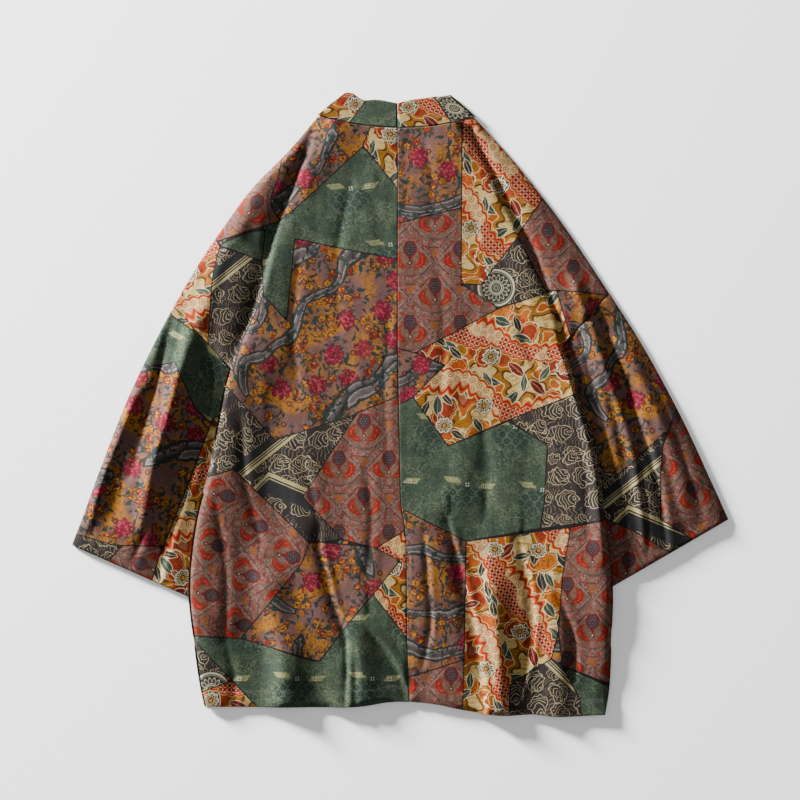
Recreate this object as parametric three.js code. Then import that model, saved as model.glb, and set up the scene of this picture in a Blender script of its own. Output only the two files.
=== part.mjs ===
// A short open kimono jacket (haori) of printed cotton, laid flat with its back up.
// Millimetres, +Z up, +Y towards the neck. Left and right are the wearer's, so left is at -X.
// The lower layer holds the two fronts, the upper layer the two backs. Each sleeve is a flattened
// tube whose inner edge is tucked under the body, and the neck band runs from hem to hem.

import * as THREE from "three";

// Driving dimensions
const CLOTH = 1.2;
const BAND_CLOTH = 2;
const GAP = 0.3;
const HALF_GAP = GAP / 2;
const BAND_WIDTH = 43;
const BODY_TOP_Y = 368;
const HEM_Y = -384;
const NECK_LOW_Y = 357;
const NECK_RISE = 16;
const NECK_HALF = 105;
const NECK_FREE_Y = 389;

// Heights of the stack where the sleeve lies under the body
const SLEEVE_STACK = 2 * CLOTH + GAP;
const TUCK_LIFT = SLEEVE_STACK + GAP;
const TUCK_FULL = 36;
const TUCK_CLEAR = 66;
const TUCK_OUTER = 10;
const TUCK_ABOVE = { start: 12, end: 45 };
const TUCK_BELOW = { start: 46, end: 11 };
const BACK_SPREAD = 8;
const BAND_STEP = { start: 4, end: 26 };
const NECK_LIFT = 1.3;
const NECK_LIFT_Y = { start: 285, end: 345 };
const BAND_UPPER_Z = 3.4;

// How the cloth stands up beside the crease between body and sleeve
const CREASE_RISE = 7;
const CREASE_EDGE = 5;
const CREASE_FADE = 28;
const CREASE_HEM_LOSS = 0.6;
const BODY_PUFF = 1.1;
const SLEEVE_PUFF = 2;
const SLEEVE_RISE_OVER = 15;
const EDGE_RISE_OVER = 16;
const FOLD_STRENGTH = 1.4;
const FLOOR_ROUNDING = 0.5;

// How far from the hem and from the neck the grids follow those two edges
const HEM_REACH = 90;
const NECK_REACH = 70;
const CREASE_HEM_REACH = 60;

// The body's side: its hem, its side below the sleeve, then the crease up to the neck.
// One row for each height, with the left and the right side's distance from the middle.
const BODY_SIDE = [
  { y: -384, left: 250, right: 262 },
  { y: -350, left: 257, right: 268 },
  { y: -295, left: 264, right: 270 },
  { y: -243, left: 270, right: 272 },
  { y: -203, left: 269, right: 270 },
  { y: -161, left: 264, right: 265 },
  { y: -129, left: 258, right: 260 },
  { y: -87, left: 246, right: 258 },
  { y: -44, left: 238, right: 249 },
  { y: 9, left: 228, right: 230 },
  { y: 52, left: 218, right: 218 },
  { y: 84, left: 203, right: 205 },
  { y: 146, left: 182, right: 180 },
  { y: 182, left: 173, right: 172 },
  { y: 228, left: 155, right: 152 },
  { y: 264, left: 142, right: 132 },
  { y: 298, left: 128, right: 114 },
  { y: 332, left: 113, right: 92 },
  { y: 368, left: 92, right: 80 },
];

// The top edge, folded over the shoulder and along the sleeve, from the neck to the cuff.
const TOP_EDGE = [
  { leftX: 105, leftY: 373, rightX: 96, rightY: 370 },
  { leftX: 142, leftY: 329, rightX: 143, rightY: 318 },
  { leftX: 188, leftY: 282, rightX: 184, rightY: 267 },
  { leftX: 221, leftY: 238, rightX: 213, rightY: 228 },
  { leftX: 254, leftY: 190, rightX: 246, rightY: 179 },
  { leftX: 289, leftY: 131, rightX: 267, rightY: 147 },
  { leftX: 319, leftY: 73, rightX: 303, rightY: 91 },
  { leftX: 349, leftY: 9, rightX: 335, rightY: 35 },
  { leftX: 384, leftY: -80, rightX: 366, rightY: -25 },
  { leftX: 406, leftY: -140, rightX: 396, rightY: -90 },
  { leftX: 420, leftY: -176, rightX: 420, rightY: -143 },
];
const SHOULDER_POINT = 5;

// The armhole seam runs from the shoulder point to the crease and on under the body's side. The
// other end of the sleeve's tucked edge is at the cuff.
const ARMHOLE = {
  left: { crease: [-218, 52], cuff: [-250, -251] },
  right: { crease: [207, 79], cuff: [253, -240] },
};
const UNDERARM_SHARE = 1.2;

// The middle-back seam, which wanders a little because the cloth is laid by hand.
const MIDDLE_SEAM = [
  { y: -384, x: 12 },
  { y: -298, x: 9 },
  { y: -165, x: 8 },
  { y: -120, x: 1 },
  { y: 77, x: -3 },
  { y: 368, x: -3 },
];

// The hem's drop below its straight line, from side to side.
const HEM_DROP = [
  { x: -262, drop: -2 },
  { x: -117, drop: -1 },
  { x: -50, drop: -2 },
  { x: -8, drop: -8 },
  { x: 45, drop: -5 },
  { x: 77, drop: 2 },
  { x: 135, drop: 10 },
  { x: 172, drop: 8 },
  { x: 200, drop: 11 },
  { x: 272, drop: 8 },
];

// The front edge's seam with the neck band, from the hem to the neck.
const BAND_SEAM = [
  { y: -384, left: 50, right: 50 },
  { y: 120, left: 50, right: 50 },
  { y: 180, left: 51, right: 51 },
  { y: 245, left: 56, right: 55 },
  { y: 300, left: 68, right: 64 },
  { y: 342, left: 85, right: 78 },
  { y: 374, left: 105, right: 97 },
];

// Where the band folds over at the neck's two corners, at its seam and at its free edge
const BAND_CORNER = {
  left: { seam: [-105, 374], free: [-69, 402] },
  right: { seam: [96, 370.6], free: [64, 399] },
};

// The largest folds of the upper layer: three points each, and the rise at each point.
const FOLDS = [
  { name: "left hem ridge", at: [[-66, -282], [-68, -325], [-70, -384]], rise: [1, 3.5, 4], half: 12 },
  { name: "left hem hollow", at: [[-84, -290], [-90, -330], [-98, -384]], rise: [-1, -3, -3], half: 11 },
  { name: "left corner hollow", at: [[-168, -285], [-182, -330], [-196, -384]], rise: [0, -2, -2], half: 16 },
  { name: "left corner ridge", at: [[-140, -270], [-146, -330], [-150, -384]], rise: [0, 2.5, 3], half: 18 },
  { name: "middle hollow", at: [[14, -230], [16, -300], [20, -384]], rise: [-1, -2.5, -3], half: 9 },
  { name: "right pleat ridge", at: [[108, -200], [114, -290], [118, -394]], rise: [1, 4.5, 5.5], half: 12 },
  { name: "right pleat hollow", at: [[84, -220], [90, -300], [94, -394]], rise: [-1, -3.5, -4], half: 9 },
  { name: "right inner hollow", at: [[164, -190], [154, -290], [140, -384]], rise: [-1, -4, -3], half: 12 },
  { name: "right outer ridge", at: [[192, -200], [200, -290], [196, -394]], rise: [1, 3, 3.5], half: 17 },
  { name: "right waist hollow", at: [[114, -30], [110, -90], [104, -150]], rise: [-0.8, -2, -0.8], half: 11 },
  { name: "right waist ridge", at: [[82, -20], [80, -90], [72, -160]], rise: [0.5, 1.6, 0.5], half: 16 },
  { name: "left waist ridge", at: [[-120, 60], [-110, -60], [-120, -180]], rise: [0.5, 1.4, 0.5], half: 26 },
  { name: "left shoulder ridge", at: [[-143, 308], [-200, 220], [-236, 96]], rise: [1, 2.6, 2], half: 13 },
  { name: "right shoulder ridge", at: [[122, 322], [184, 238], [232, 128]], rise: [1, 3, 2.4], half: 13 },
  { name: "left sleeve hollow", at: [[-275, 128], [-298, 60], [-322, -32]], rise: [-2, -4, -1], half: 8 },
  { name: "left sleeve ridge", at: [[-262, 112], [-298, -8], [-352, -160]], rise: [2, 4.2, 2.2], half: 13 },
  { name: "left inner hollow", at: [[-240, 50], [-262, -66], [-310, -208]], rise: [-2, -4, -2], half: 11 },
  { name: "left outer ridge", at: [[-322, 48], [-362, -50], [-402, -156]], rise: [1.6, 2.6, 1.6], half: 12 },
  { name: "left cuff hollow", at: [[-332, -6], [-364, -86], [-384, -150]], rise: [-1, -2.6, -2], half: 9 },
  { name: "left under ridge", at: [[-254, -60], [-270, -120], [-296, -208]], rise: [0.5, 2.4, 1.6], half: 9 },
  { name: "right sleeve ridge", at: [[226, 132], [250, 50], [272, -84]], rise: [1.5, 4, 1.8], half: 12 },
  { name: "right sleeve hollow", at: [[256, 116], [288, 26], [311, -60]], rise: [-1.5, -4, -1.5], half: 8 },
  { name: "right middle ridge", at: [[280, 96], [316, -26], [346, -150]], rise: [1.5, 3.4, 1.8], half: 15 },
  { name: "right cuff hollow", at: [[276, -76], [282, -146], [290, -212]], rise: [-1, -3, -2], half: 8 },
  { name: "right outer ridge on sleeve", at: [[322, 22], [372, -84], [402, -134]], rise: [1, 2.2, 1.4], half: 14 },
];

// Grid steps across the body from its side, then across the shoulder and the sleeve
const SIDE_STEPS = [0, 3, 6.5, 11, 17, 25, 36];
const BODY_COLUMNS = 15;
const BODY_ROWS = 26;
const SHOULDER_COLUMNS = 6;
const FRONT_COLUMNS = 12;
const FRONT_BODY_ROWS = 16;
const ARMHOLE_ROWS = 5;
const FRONT_SHOULDER_ROWS = 11;
const NECK_POINT_SHARE = 0.985;
const NECK_CORNER_DROP = 6;
const SLEEVE_STATIONS = 19;
const SLEEVE_COLUMNS = 15;
const BAND_TURN_STEPS = 5;
const BAND_BACK_SHARES = [0, 0.25, 0.5, 0.75, 0.9];
const RIM_SEARCH_STEPS = 20;
const SHOULDER_SPREAD = 1.15;
const SLEEVE_SPREAD = 1.1;

const clamp01 = (v) => Math.min(1, Math.max(0, v));
const ease = (low, high, v) => {
  const t = clamp01((v - low) / (high - low));
  return t * t * (3 - 2 * t);
};
const mix = (a, b, t) => a + (b - a) * t;
const mixPoint = (p, q, t) => [mix(p[0], q[0], t), mix(p[1], q[1], t)];

// A smooth line through a few points, as a fine list of points.
function smoothLine(points, perSpan = 8) {
  const curve = new THREE.CatmullRomCurve3(
    points.map(([x, y]) => new THREE.Vector3(x, y, 0)),
    false,
    "centripetal",
  );
  const count = perSpan * (points.length - 1);
  return Array.from({ length: count + 1 }, (_, i) => {
    const p = curve.getPoint(i / count);
    return [p.x, p.y];
  });
}

// The value that a line of [key, value] points has at a key, between its two ends.
function valueAt(line, key) {
  const last = line.length - 1;
  if (key <= line[0][0]) return line[0][1];
  if (key >= line[last][0]) return line[last][1];
  const i = line.findIndex(([k]) => k > key);
  const [k0, v0] = line[i - 1];
  const [k1, v1] = line[i];
  return mix(v0, v1, (key - k0) / (k1 - k0));
}

// The point at a share of a line's length.
function pointAlong(line, share) {
  const lengths = [0];
  for (let i = 1; i < line.length; i++) {
    const step = Math.hypot(line[i][0] - line[i - 1][0], line[i][1] - line[i - 1][1]);
    lengths.push(lengths[i - 1] + step);
  }
  const goal = clamp01(share) * lengths[lengths.length - 1];
  let i = lengths.findIndex((length) => length >= goal);
  if (i < 1) i = 1;
  return mixPoint(line[i - 1], line[i], (goal - lengths[i - 1]) / (lengths[i] - lengths[i - 1]));
}

// How far a point is from a line, and how far along it the nearest place is, in segments.
function nearest(line, x, y) {
  let best = { distance: Infinity, along: 0 };
  for (let i = 1; i < line.length; i++) {
    const [ax, ay] = line[i - 1];
    const dx = line[i][0] - ax;
    const dy = line[i][1] - ay;
    const t = clamp01(((x - ax) * dx + (y - ay) * dy) / (dx * dx + dy * dy));
    const distance = Math.hypot(x - ax - t * dx, y - ay - t * dy);
    if (distance < best.distance) best = { distance, along: i - 1 + t };
  }
  return best;
}

// The two sides, with their lines in the jacket's own coordinates.
function sideOf(name) {
  const sign = name === "left" ? -1 : 1;
  const edge = TOP_EDGE.map((row) => [sign * row[name + "X"], row[name + "Y"]]);
  const bodyLine = smoothLine(BODY_SIDE.map((row) => [sign * row[name], row.y]), 4);
  return {
    name,
    sign,
    bodyLine,
    bodyX: bodyLine.map(([x, y]) => [y, x]),
    bandSeam: smoothLine(BAND_SEAM.map((row) => [row.y, row[name]]), 6),
    topLine: smoothLine(edge, 3),
    shoulderLine: smoothLine(edge.slice(0, SHOULDER_POINT + 1)).reverse(),
    sleeveLine: smoothLine(edge.slice(SHOULDER_POINT)),
    neckCorner: edge[0],
    shoulderPoint: edge[SHOULDER_POINT],
    underarm: mixPoint(edge[SHOULDER_POINT], ARMHOLE[name].crease, UNDERARM_SHARE),
    ...ARMHOLE[name],
  };
}

const SIDES = { left: sideOf("left"), right: sideOf("right") };
const sideAt = (x) => (x < 0 ? SIDES.left : SIDES.right);
const middleLine = MIDDLE_SEAM.map(({ y, x }) => [y, x]);
const hemLine = smoothLine(HEM_DROP.map(({ x, drop }) => [x, drop]), 4);

const bandSeamX = (side, y) => valueAt(side.bandSeam, y);
const middleX = (y) => valueAt(middleLine, y);
const neckY = (x) => NECK_LOW_Y + NECK_RISE * (x / NECK_HALF) ** 2;

// The distance inside the body's side, negative outside it.
function insideBody(x, y) {
  const side = sideAt(x);
  const inside = side.sign * (valueAt(side.bodyX, y) - x) >= 0;
  const { distance } = nearest(side.bodyLine, x, y);
  return inside ? distance : -distance;
}

// How far the sleeve under the body lifts both of the body's layers. The spread widens the area.
function tuckLift(x, y, spread = 0) {
  const side = sideAt(x);
  const inside = insideBody(x, y);
  const [start, end] = [TUCK_FULL + spread, TUCK_CLEAR + spread];
  const within = 1 - ease(start, end, inside);
  const beyond = 1 - ease(spread, spread + TUCK_OUTER, -inside);
  const above = 1 - ease(TUCK_ABOVE.start, TUCK_ABOVE.end, y - spread - side.crease[1]);
  const below = 1 - ease(TUCK_BELOW.end, TUCK_BELOW.start, side.cuff[1] - y - spread);
  return TUCK_LIFT * Math.min(within, beyond) * above * below;
}

// The top of whatever lies under the back, with the neck band's extra thickness.
function underBack(x, y) {
  const fromSeam = Math.abs(x) - bandSeamX(sideAt(x), y);
  const bandShare = 1 - ease(BAND_STEP.start, BAND_STEP.end, fromSeam);
  const neck = NECK_LIFT * ease(NECK_LIFT_Y.start, NECK_LIFT_Y.end, y) * bandShare;
  return Math.max(tuckLift(x, y, BACK_SPREAD) + CLOTH, mix(CLOTH, BAND_CLOTH, bandShare)) + neck;
}

// What the folds in the table add at a point.
function foldRise(x, y) {
  return FOLDS.reduce((sum, { at, rise, half }) => {
    const { distance, along } = nearest(at, x, y);
    const span = Math.min(1, Math.floor(along));
    const height = mix(rise[span], rise[span + 1], along - span);
    return sum + FOLD_STRENGTH * height * Math.exp(-((distance / half) ** 2));
  }, 0);
}

// A value that never falls under zero and turns smoothly there.
const softFloor = (v) => (v + Math.sqrt(v * v + FLOOR_ROUNDING)) / 2;

// How far the upper layer stands clear of what is under it.
function puff(x, y) {
  const inside = insideBody(x, y);
  if (inside >= 0) {
    const edge = 1 - Math.exp(-((inside / CREASE_EDGE) ** 2));
    const side = CREASE_RISE * edge * Math.exp(-inside / CREASE_FADE);
    const hem = 1 - CREASE_HEM_LOSS * (1 - ease(0, CREASE_HEM_REACH, y - HEM_Y));
    return side * hem + edge * softFloor(BODY_PUFF + foldRise(x, y));
  }
  const { distance } = nearest(sideAt(x).topLine, x, y);
  const window = ease(0, SLEEVE_RISE_OVER, -inside) * ease(0, EDGE_RISE_OVER, distance);
  return window * softFloor(SLEEVE_PUFF + foldRise(x, y));
}

// A flat net of points and triangles, made of grids that share their common points.
function netOf(grids) {
  const points = [];
  const index = new Map();
  const triangles = [];
  const add = ([x, y]) => {
    const key = Math.round(x * 50) + "," + Math.round(y * 50);
    if (!index.has(key)) {
      index.set(key, points.length);
      points.push([x, y]);
    }
    return index.get(key);
  };
  const addTriangle = (a, b, c) => {
    const [p, q, r] = [points[a], points[b], points[c]];
    const area = (q[0] - p[0]) * (r[1] - p[1]) - (q[1] - p[1]) * (r[0] - p[0]);
    if (Math.abs(area) > 1e-3) triangles.push(area > 0 ? [a, b, c] : [a, c, b]);
  };
  for (const grid of grids) {
    const ids = grid.map((row) => row.map(add));
    for (let i = 1; i < ids.length; i++) {
      for (let j = 1; j < ids[i].length; j++) {
        const [a, b, c, d] = [ids[i - 1][j - 1], ids[i - 1][j], ids[i][j], ids[i][j - 1]];
        addTriangle(a, b, c);
        addTriangle(a, c, d);
      }
    }
  }
  return { points, triangles };
}

// A closed wall of cloth over a net: its underside at a height for each point, then its thickness.
function wallOver({ points, triangles }, undersideOf, thickness) {
  const count = points.length;
  const undersides = points.map(([x, y]) => undersideOf(x, y));
  const positions = [
    ...points.flatMap(([x, y], i) => [x, y, undersides[i]]),
    ...points.flatMap(([x, y], i) => [x, y, undersides[i] + thickness]),
  ];
  const faces = [];
  const edges = new Set(triangles.flatMap(([a, b, c]) => [a + ">" + b, b + ">" + c, c + ">" + a]));
  for (const [a, b, c] of triangles) {
    faces.push(a, c, b, a + count, b + count, c + count);
    for (const [p, q] of [[a, b], [b, c], [c, a]]) {
      if (!edges.has(q + ">" + p)) faces.push(p, q, q + count, p, q + count, p + count);
    }
  }
  return geometryOf(positions, faces);
}

function geometryOf(positions, faces) {
  const geometry = new THREE.BufferGeometry();
  geometry.setAttribute("position", new THREE.Float32BufferAttribute(positions, 3));
  geometry.setIndex(faces);
  geometry.computeVertexNormals();
  return geometry;
}

// A closed wall swept through sections, each a loop of points in the same order.
function sweptWall(loops, capFaces) {
  const size = loops[0].length;
  const faces = [];
  for (let i = 1; i < loops.length; i++) {
    for (let j = 0; j < size; j++) {
      const [a, b] = [(i - 1) * size + j, (i - 1) * size + ((j + 1) % size)];
      const [c, d] = [i * size + ((j + 1) % size), i * size + j];
      faces.push(a, b, c, a, c, d);
    }
  }
  const last = (loops.length - 1) * size;
  faces.push(...capFaces.flatMap(([a, b, c]) => [a, c, b, last + a, last + b, last + c]));
  return { positions: loops.flat(2), faces };
}

// Turns every face round when the solid would be inside out.
function facingOut({ positions, faces }) {
  let volume = 0;
  for (let i = 0; i < faces.length; i += 3) {
    const [a, b, c] = [0, 1, 2].map((k) =>
      new THREE.Vector3().fromArray(positions, 3 * faces[i + k]),
    );
    volume += a.dot(b.cross(c));
  }
  const turned = volume < 0 ? faces.map((_, i) => faces[i - (i % 3) + [0, 2, 1][i % 3]]) : faces;
  return geometryOf(positions, turned);
}

// The heights of the rows, with one exactly at the armhole's end of the crease.
function rowHeights(side, count) {
  const split = side.crease[1];
  const share = (split - HEM_Y) / (BODY_TOP_Y - HEM_Y);
  const lower = Math.round(share * count);
  const rows = Array.from({ length: lower }, (_, i) => mix(HEM_Y, split, i / lower));
  const upper = count - lower;
  return rows.concat(Array.from({ length: upper + 1 }, (_, i) => mix(split, BODY_TOP_Y, i / upper)));
}

// Moves a grid point towards the wavy hem, with less effect further up.
function hemmed([x, y]) {
  return [x, y - valueAt(hemLine, x) * (1 - ease(0, HEM_REACH, y - HEM_Y))];
}

// Moves a grid point of the back towards the hem or the hollowed neck.
function trimmed([x, y]) {
  const neckMove = neckY(x) - HALF_GAP - BODY_TOP_Y;
  const [movedX, movedY] = hemmed([x, y]);
  return [movedX, movedY + neckMove * (1 - ease(0, NECK_REACH, BODY_TOP_Y - y))];
}

// The heights at which the front's rows and the band's sections meet their common seam.
function seamHeights(side) {
  const split = side.crease[1];
  const lower = Array.from({ length: FRONT_BODY_ROWS }, (_, i) => mix(HEM_Y, split, i / FRONT_BODY_ROWS));
  const count = ARMHOLE_ROWS + FRONT_SHOULDER_ROWS;
  const top = side.neckCorner[1] - NECK_CORNER_DROP;
  return lower.concat(Array.from({ length: count + 1 }, (_, i) => mix(split, top, i / count)));
}

// The shoulder's part outside the crease, down to the armhole seam.
function shoulderGrid(side, rows) {
  const upper = rows.filter((y) => y >= side.crease[1]);
  return upper.map((y, i) => {
    const inner = [valueAt(side.bodyX, y), y];
    const outer = pointAlong(side.shoulderLine, i / (upper.length - 1));
    return Array.from({ length: SHOULDER_COLUMNS + 1 }, (_, j) =>
      mixPoint(trimmed(inner), outer, (j / SHOULDER_COLUMNS) ** SHOULDER_SPREAD),
    );
  });
}

function makeBack(side) {
  const rows = rowHeights(side, BODY_ROWS);
  const body = rows.map((y) => {
    const outer = valueAt(side.bodyX, y);
    const inner = middleX(y) + side.sign * HALF_GAP;
    const steps = SIDE_STEPS.map((step) => outer - side.sign * step);
    const start = steps[steps.length - 1];
    for (let j = 1; j <= BODY_COLUMNS; j++) steps.push(mix(start, inner, j / BODY_COLUMNS));
    return steps.map((x) => trimmed([x, y]));
  });
  const net = netOf([body, shoulderGrid(side, rows)]);
  return wallOver(net, (x, y) => underBack(x, y) + GAP + puff(x, y), CLOTH);
}

function makeFront(side) {
  const heights = seamHeights(side);
  const armhole = [side.crease, side.shoulderPoint];
  const edges = heights.slice(0, FRONT_BODY_ROWS).map((y) => [valueAt(side.bodyX, y), y]);
  for (let i = 0; i < ARMHOLE_ROWS; i++) edges.push(pointAlong(armhole, i / ARMHOLE_ROWS));
  for (let i = 0; i <= FRONT_SHOULDER_ROWS; i++) {
    edges.push(pointAlong(side.shoulderLine, (NECK_POINT_SHARE * i) / FRONT_SHOULDER_ROWS));
  }
  const rows = heights.map((y, i) => {
    const seam = [side.sign * (bandSeamX(side, y) + GAP), y];
    return Array.from({ length: FRONT_COLUMNS + 1 }, (_, j) =>
      hemmed(mixPoint(edges[i], seam, j / FRONT_COLUMNS)),
    );
  });
  return wallOver(netOf([rows]), (x, y) => tuckLift(x, y), CLOTH);
}

// A sleeve: a flattened tube from the armhole seam to the cuff.
function makeSleeve(side) {
  const loops = [];
  for (let i = 0; i <= SLEEVE_STATIONS; i++) {
    const share = i / SLEEVE_STATIONS;
    const offset = (GAP / Math.SQRT2) * (1 - share);
    const moved = ([x, y]) => [x + side.sign * offset, y - offset];
    const outer = moved(pointAlong(side.sleeveLine, share));
    loops.push(tubeSection(moved(mixPoint(side.underarm, side.cuff, share)), outer));
  }
  const caps = [];
  const size = 2 * (SLEEVE_COLUMNS + 1);
  for (let j = 0; j < size; j++) {
    const next = (j + 1) % size;
    caps.push([j, next, size + next], [j, size + next, size + j]);
  }
  return facingOut(sweptTube(loops, size, caps));
}

// The share of a section at which it comes out from under the body.
function rimShare(inner, outer) {
  let [low, high] = [0, 1];
  for (let i = 0; i < RIM_SEARCH_STEPS; i++) {
    const share = (low + high) / 2;
    if (insideBody(...mixPoint(inner, outer, share)) > 0) low = share;
    else high = share;
  }
  return low;
}

// One section of a sleeve: the outer loop, then the inner loop.
function tubeSection(inner, outer) {
  const width = Math.hypot(outer[0] - inner[0], outer[1] - inner[1]);
  const rim = rimShare(inner, outer);
  const shares = [0, rim / 2, rim];
  const open = SLEEVE_COLUMNS - 2;
  for (let j = 1; j <= open; j++) shares.push(mix(rim, 1, (j / open) ** SLEEVE_SPREAD));
  const top = (x, y) => SLEEVE_STACK + (insideBody(x, y) >= 0 ? 0 : puff(x, y));
  const inset = CLOTH / width;
  const lower = shares.map((t) => mixPoint(inner, outer, t));
  const upper = [...lower].reverse();
  const narrowed = shares.map((t) => mixPoint(inner, outer, mix(inset, 1 - inset, t)));
  const narrowedBack = [...narrowed].reverse();
  return [
    ...lower.map(([x, y]) => [x, y, 0]),
    ...upper.map(([x, y]) => [x, y, top(x, y)]),
    ...narrowed.map(([x, y]) => [x, y, CLOTH]),
    ...narrowedBack.map(([x, y], j) => [x, y, top(upper[j][0], upper[j][1]) - CLOTH]),
  ];
}

// The faces of a tube whose sections hold an outer and an inner loop of one size.
function sweptTube(loops, size, caps) {
  const faces = [];
  const stride = 2 * size;
  for (let i = 1; i < loops.length; i++) {
    for (let j = 0; j < size; j++) {
      const next = (j + 1) % size;
      const [p, q] = [(i - 1) * stride, i * stride];
      faces.push(p + j, p + next, q + next, p + j, q + next, q + j);
      const [r, s] = [p + size, q + size];
      faces.push(r + j, s + next, r + next, r + j, s + j, s + next);
    }
  }
  const last = (loops.length - 1) * stride;
  faces.push(...caps.flatMap(([a, b, c]) => [a, c, b, last + a, last + b, last + c]));
  return { positions: loops.flat(2), faces };
}

// One half of the neck band, from the middle back round the neck's corner and down the front.
function makeBand(side) {
  const corner = BAND_CORNER[side.name];
  const upperZ = BAND_UPPER_Z + BAND_CLOTH / 2;
  const lowerZ = BAND_CLOTH / 2;
  const sections = [];
  const startX = middleX(BODY_TOP_Y) + side.sign * HALF_GAP;
  for (const share of BAND_BACK_SHARES) {
    const x = mix(startX, corner.seam[0], share);
    const freeX = mix(startX, corner.free[0], share);
    const seam = [x, neckY(x) + HALF_GAP];
    const free = [freeX, mix(NECK_FREE_Y, corner.free[1], share ** 2)];
    sections.push({ seam, free, z: upperZ, turn: 0 });
  }
  const turnMiddle = (upperZ + lowerZ) / 2;
  const turnRadius = (upperZ - lowerZ) / 2;
  for (let i = 0; i <= BAND_TURN_STEPS; i++) {
    const turn = (Math.PI * i) / BAND_TURN_STEPS;
    const back = turnRadius * (1 - Math.sin(turn));
    const push = (point) => [point[0] - side.sign * back, point[1]];
    const z = turnMiddle + turnRadius * Math.cos(turn);
    sections.push({ seam: push(corner.seam), free: push(corner.free), z, turn });
  }
  const [, ...frontHeights] = seamHeights(side).reverse();
  for (const y of frontHeights) {
    const tilt = Math.atan(bandSeamX(side, y + 0.5) - bandSeamX(side, y - 0.5));
    const seam = [side.sign * bandSeamX(side, y), y];
    const inward = BAND_WIDTH * Math.cos(tilt);
    const free = [seam[0] - side.sign * inward, y + BAND_WIDTH * Math.sin(tilt)];
    const drop = y - hemmed(seam)[1];
    sections.push({ seam: hemmed(seam), free: [free[0], free[1] - drop], z: lowerZ, turn: Math.PI });
  }
  const loops = sections.map(({ seam, free, z, turn }) => bandSection(seam, free, z, turn, side));
  const caps = [[0, 1, 4], [1, 2, 3], [0, 4, 5], [1, 3, 4]];
  return facingOut(sweptWall(loops, caps));
}

// One section of the band: three points on its outer face, then three on its inner face.
function bandSection(seam, free, z, turn, side) {
  const middle = mixPoint(seam, free, 0.5);
  const across = new THREE.Vector2(free[0] - seam[0], free[1] - seam[1]).normalize();
  const away = new THREE.Vector2(-across.y, across.x).multiplyScalar(side.sign < 0 ? 1 : -1);
  const half = BAND_CLOTH / 2;
  const offset = [half * Math.sin(turn) * away.x, half * Math.sin(turn) * away.y, half * Math.cos(turn)];
  const place = ([x, y], way) => [x + way * offset[0], y + way * offset[1], z + way * offset[2]];
  return [
    place(seam, 1),
    place(middle, 1),
    place(free, 1),
    place(free, -1),
    place(middle, -1),
    place(seam, -1),
  ];
}

function makeCloth(color) {
  return new THREE.MeshStandardMaterial({ color, roughness: 0.9, metalness: 0, side: THREE.DoubleSide });
}

const PRINTED = 0x6f5a4e;
const BAND_PRINTED = 0x8a6a52;

const jacket = new THREE.Group();
for (const side of [SIDES.left, SIDES.right]) {
  const pieces = {
    back: [makeBack(side), PRINTED],
    front: [makeFront(side), PRINTED],
    sleeve: [makeSleeve(side), PRINTED],
    band: [makeBand(side), BAND_PRINTED],
  };
  for (const [piece, [geometry, color]] of Object.entries(pieces)) {
    const mesh = new THREE.Mesh(geometry, makeCloth(color));
    mesh.name = piece + "_" + side.name;
    jacket.add(mesh);
  }
}

// The origin is the middle of the jacket's underside.
const bounds = new THREE.Box3().setFromObject(jacket, true);
const middle = bounds.getCenter(new THREE.Vector3());
jacket.position.set(-middle.x, -middle.y, -bounds.min.z);

export default jacket;
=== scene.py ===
import math

import bpy
import bmesh
import numpy as np
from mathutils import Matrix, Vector, geometry, noise
from mathutils.bvhtree import BVHTree
from mathutils.kdtree import KDTree


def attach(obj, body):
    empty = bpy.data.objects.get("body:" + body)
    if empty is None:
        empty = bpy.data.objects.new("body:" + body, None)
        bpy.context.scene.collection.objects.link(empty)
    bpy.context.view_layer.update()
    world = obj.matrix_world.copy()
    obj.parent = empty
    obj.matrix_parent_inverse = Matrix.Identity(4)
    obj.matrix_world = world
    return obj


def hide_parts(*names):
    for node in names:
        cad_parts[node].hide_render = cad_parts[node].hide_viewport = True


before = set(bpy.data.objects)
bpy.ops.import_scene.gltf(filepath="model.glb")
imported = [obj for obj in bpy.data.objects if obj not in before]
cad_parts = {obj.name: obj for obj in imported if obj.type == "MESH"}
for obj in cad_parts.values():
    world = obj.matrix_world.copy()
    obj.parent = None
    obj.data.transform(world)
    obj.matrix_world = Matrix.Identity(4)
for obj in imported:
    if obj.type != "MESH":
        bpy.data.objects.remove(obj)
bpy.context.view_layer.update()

# Backs
# Two long panels of printed cotton, joined down the middle back. Each one turns over the shoulder
# into the front, and its side lies over the sleeve. The print is a patchwork of five designs.
MM = 0.001
PIXEL = 1.28 * MM
PHOTO_ORIGIN = (400.0, 404.5)
CLOTH = 1.2 * MM

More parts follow.
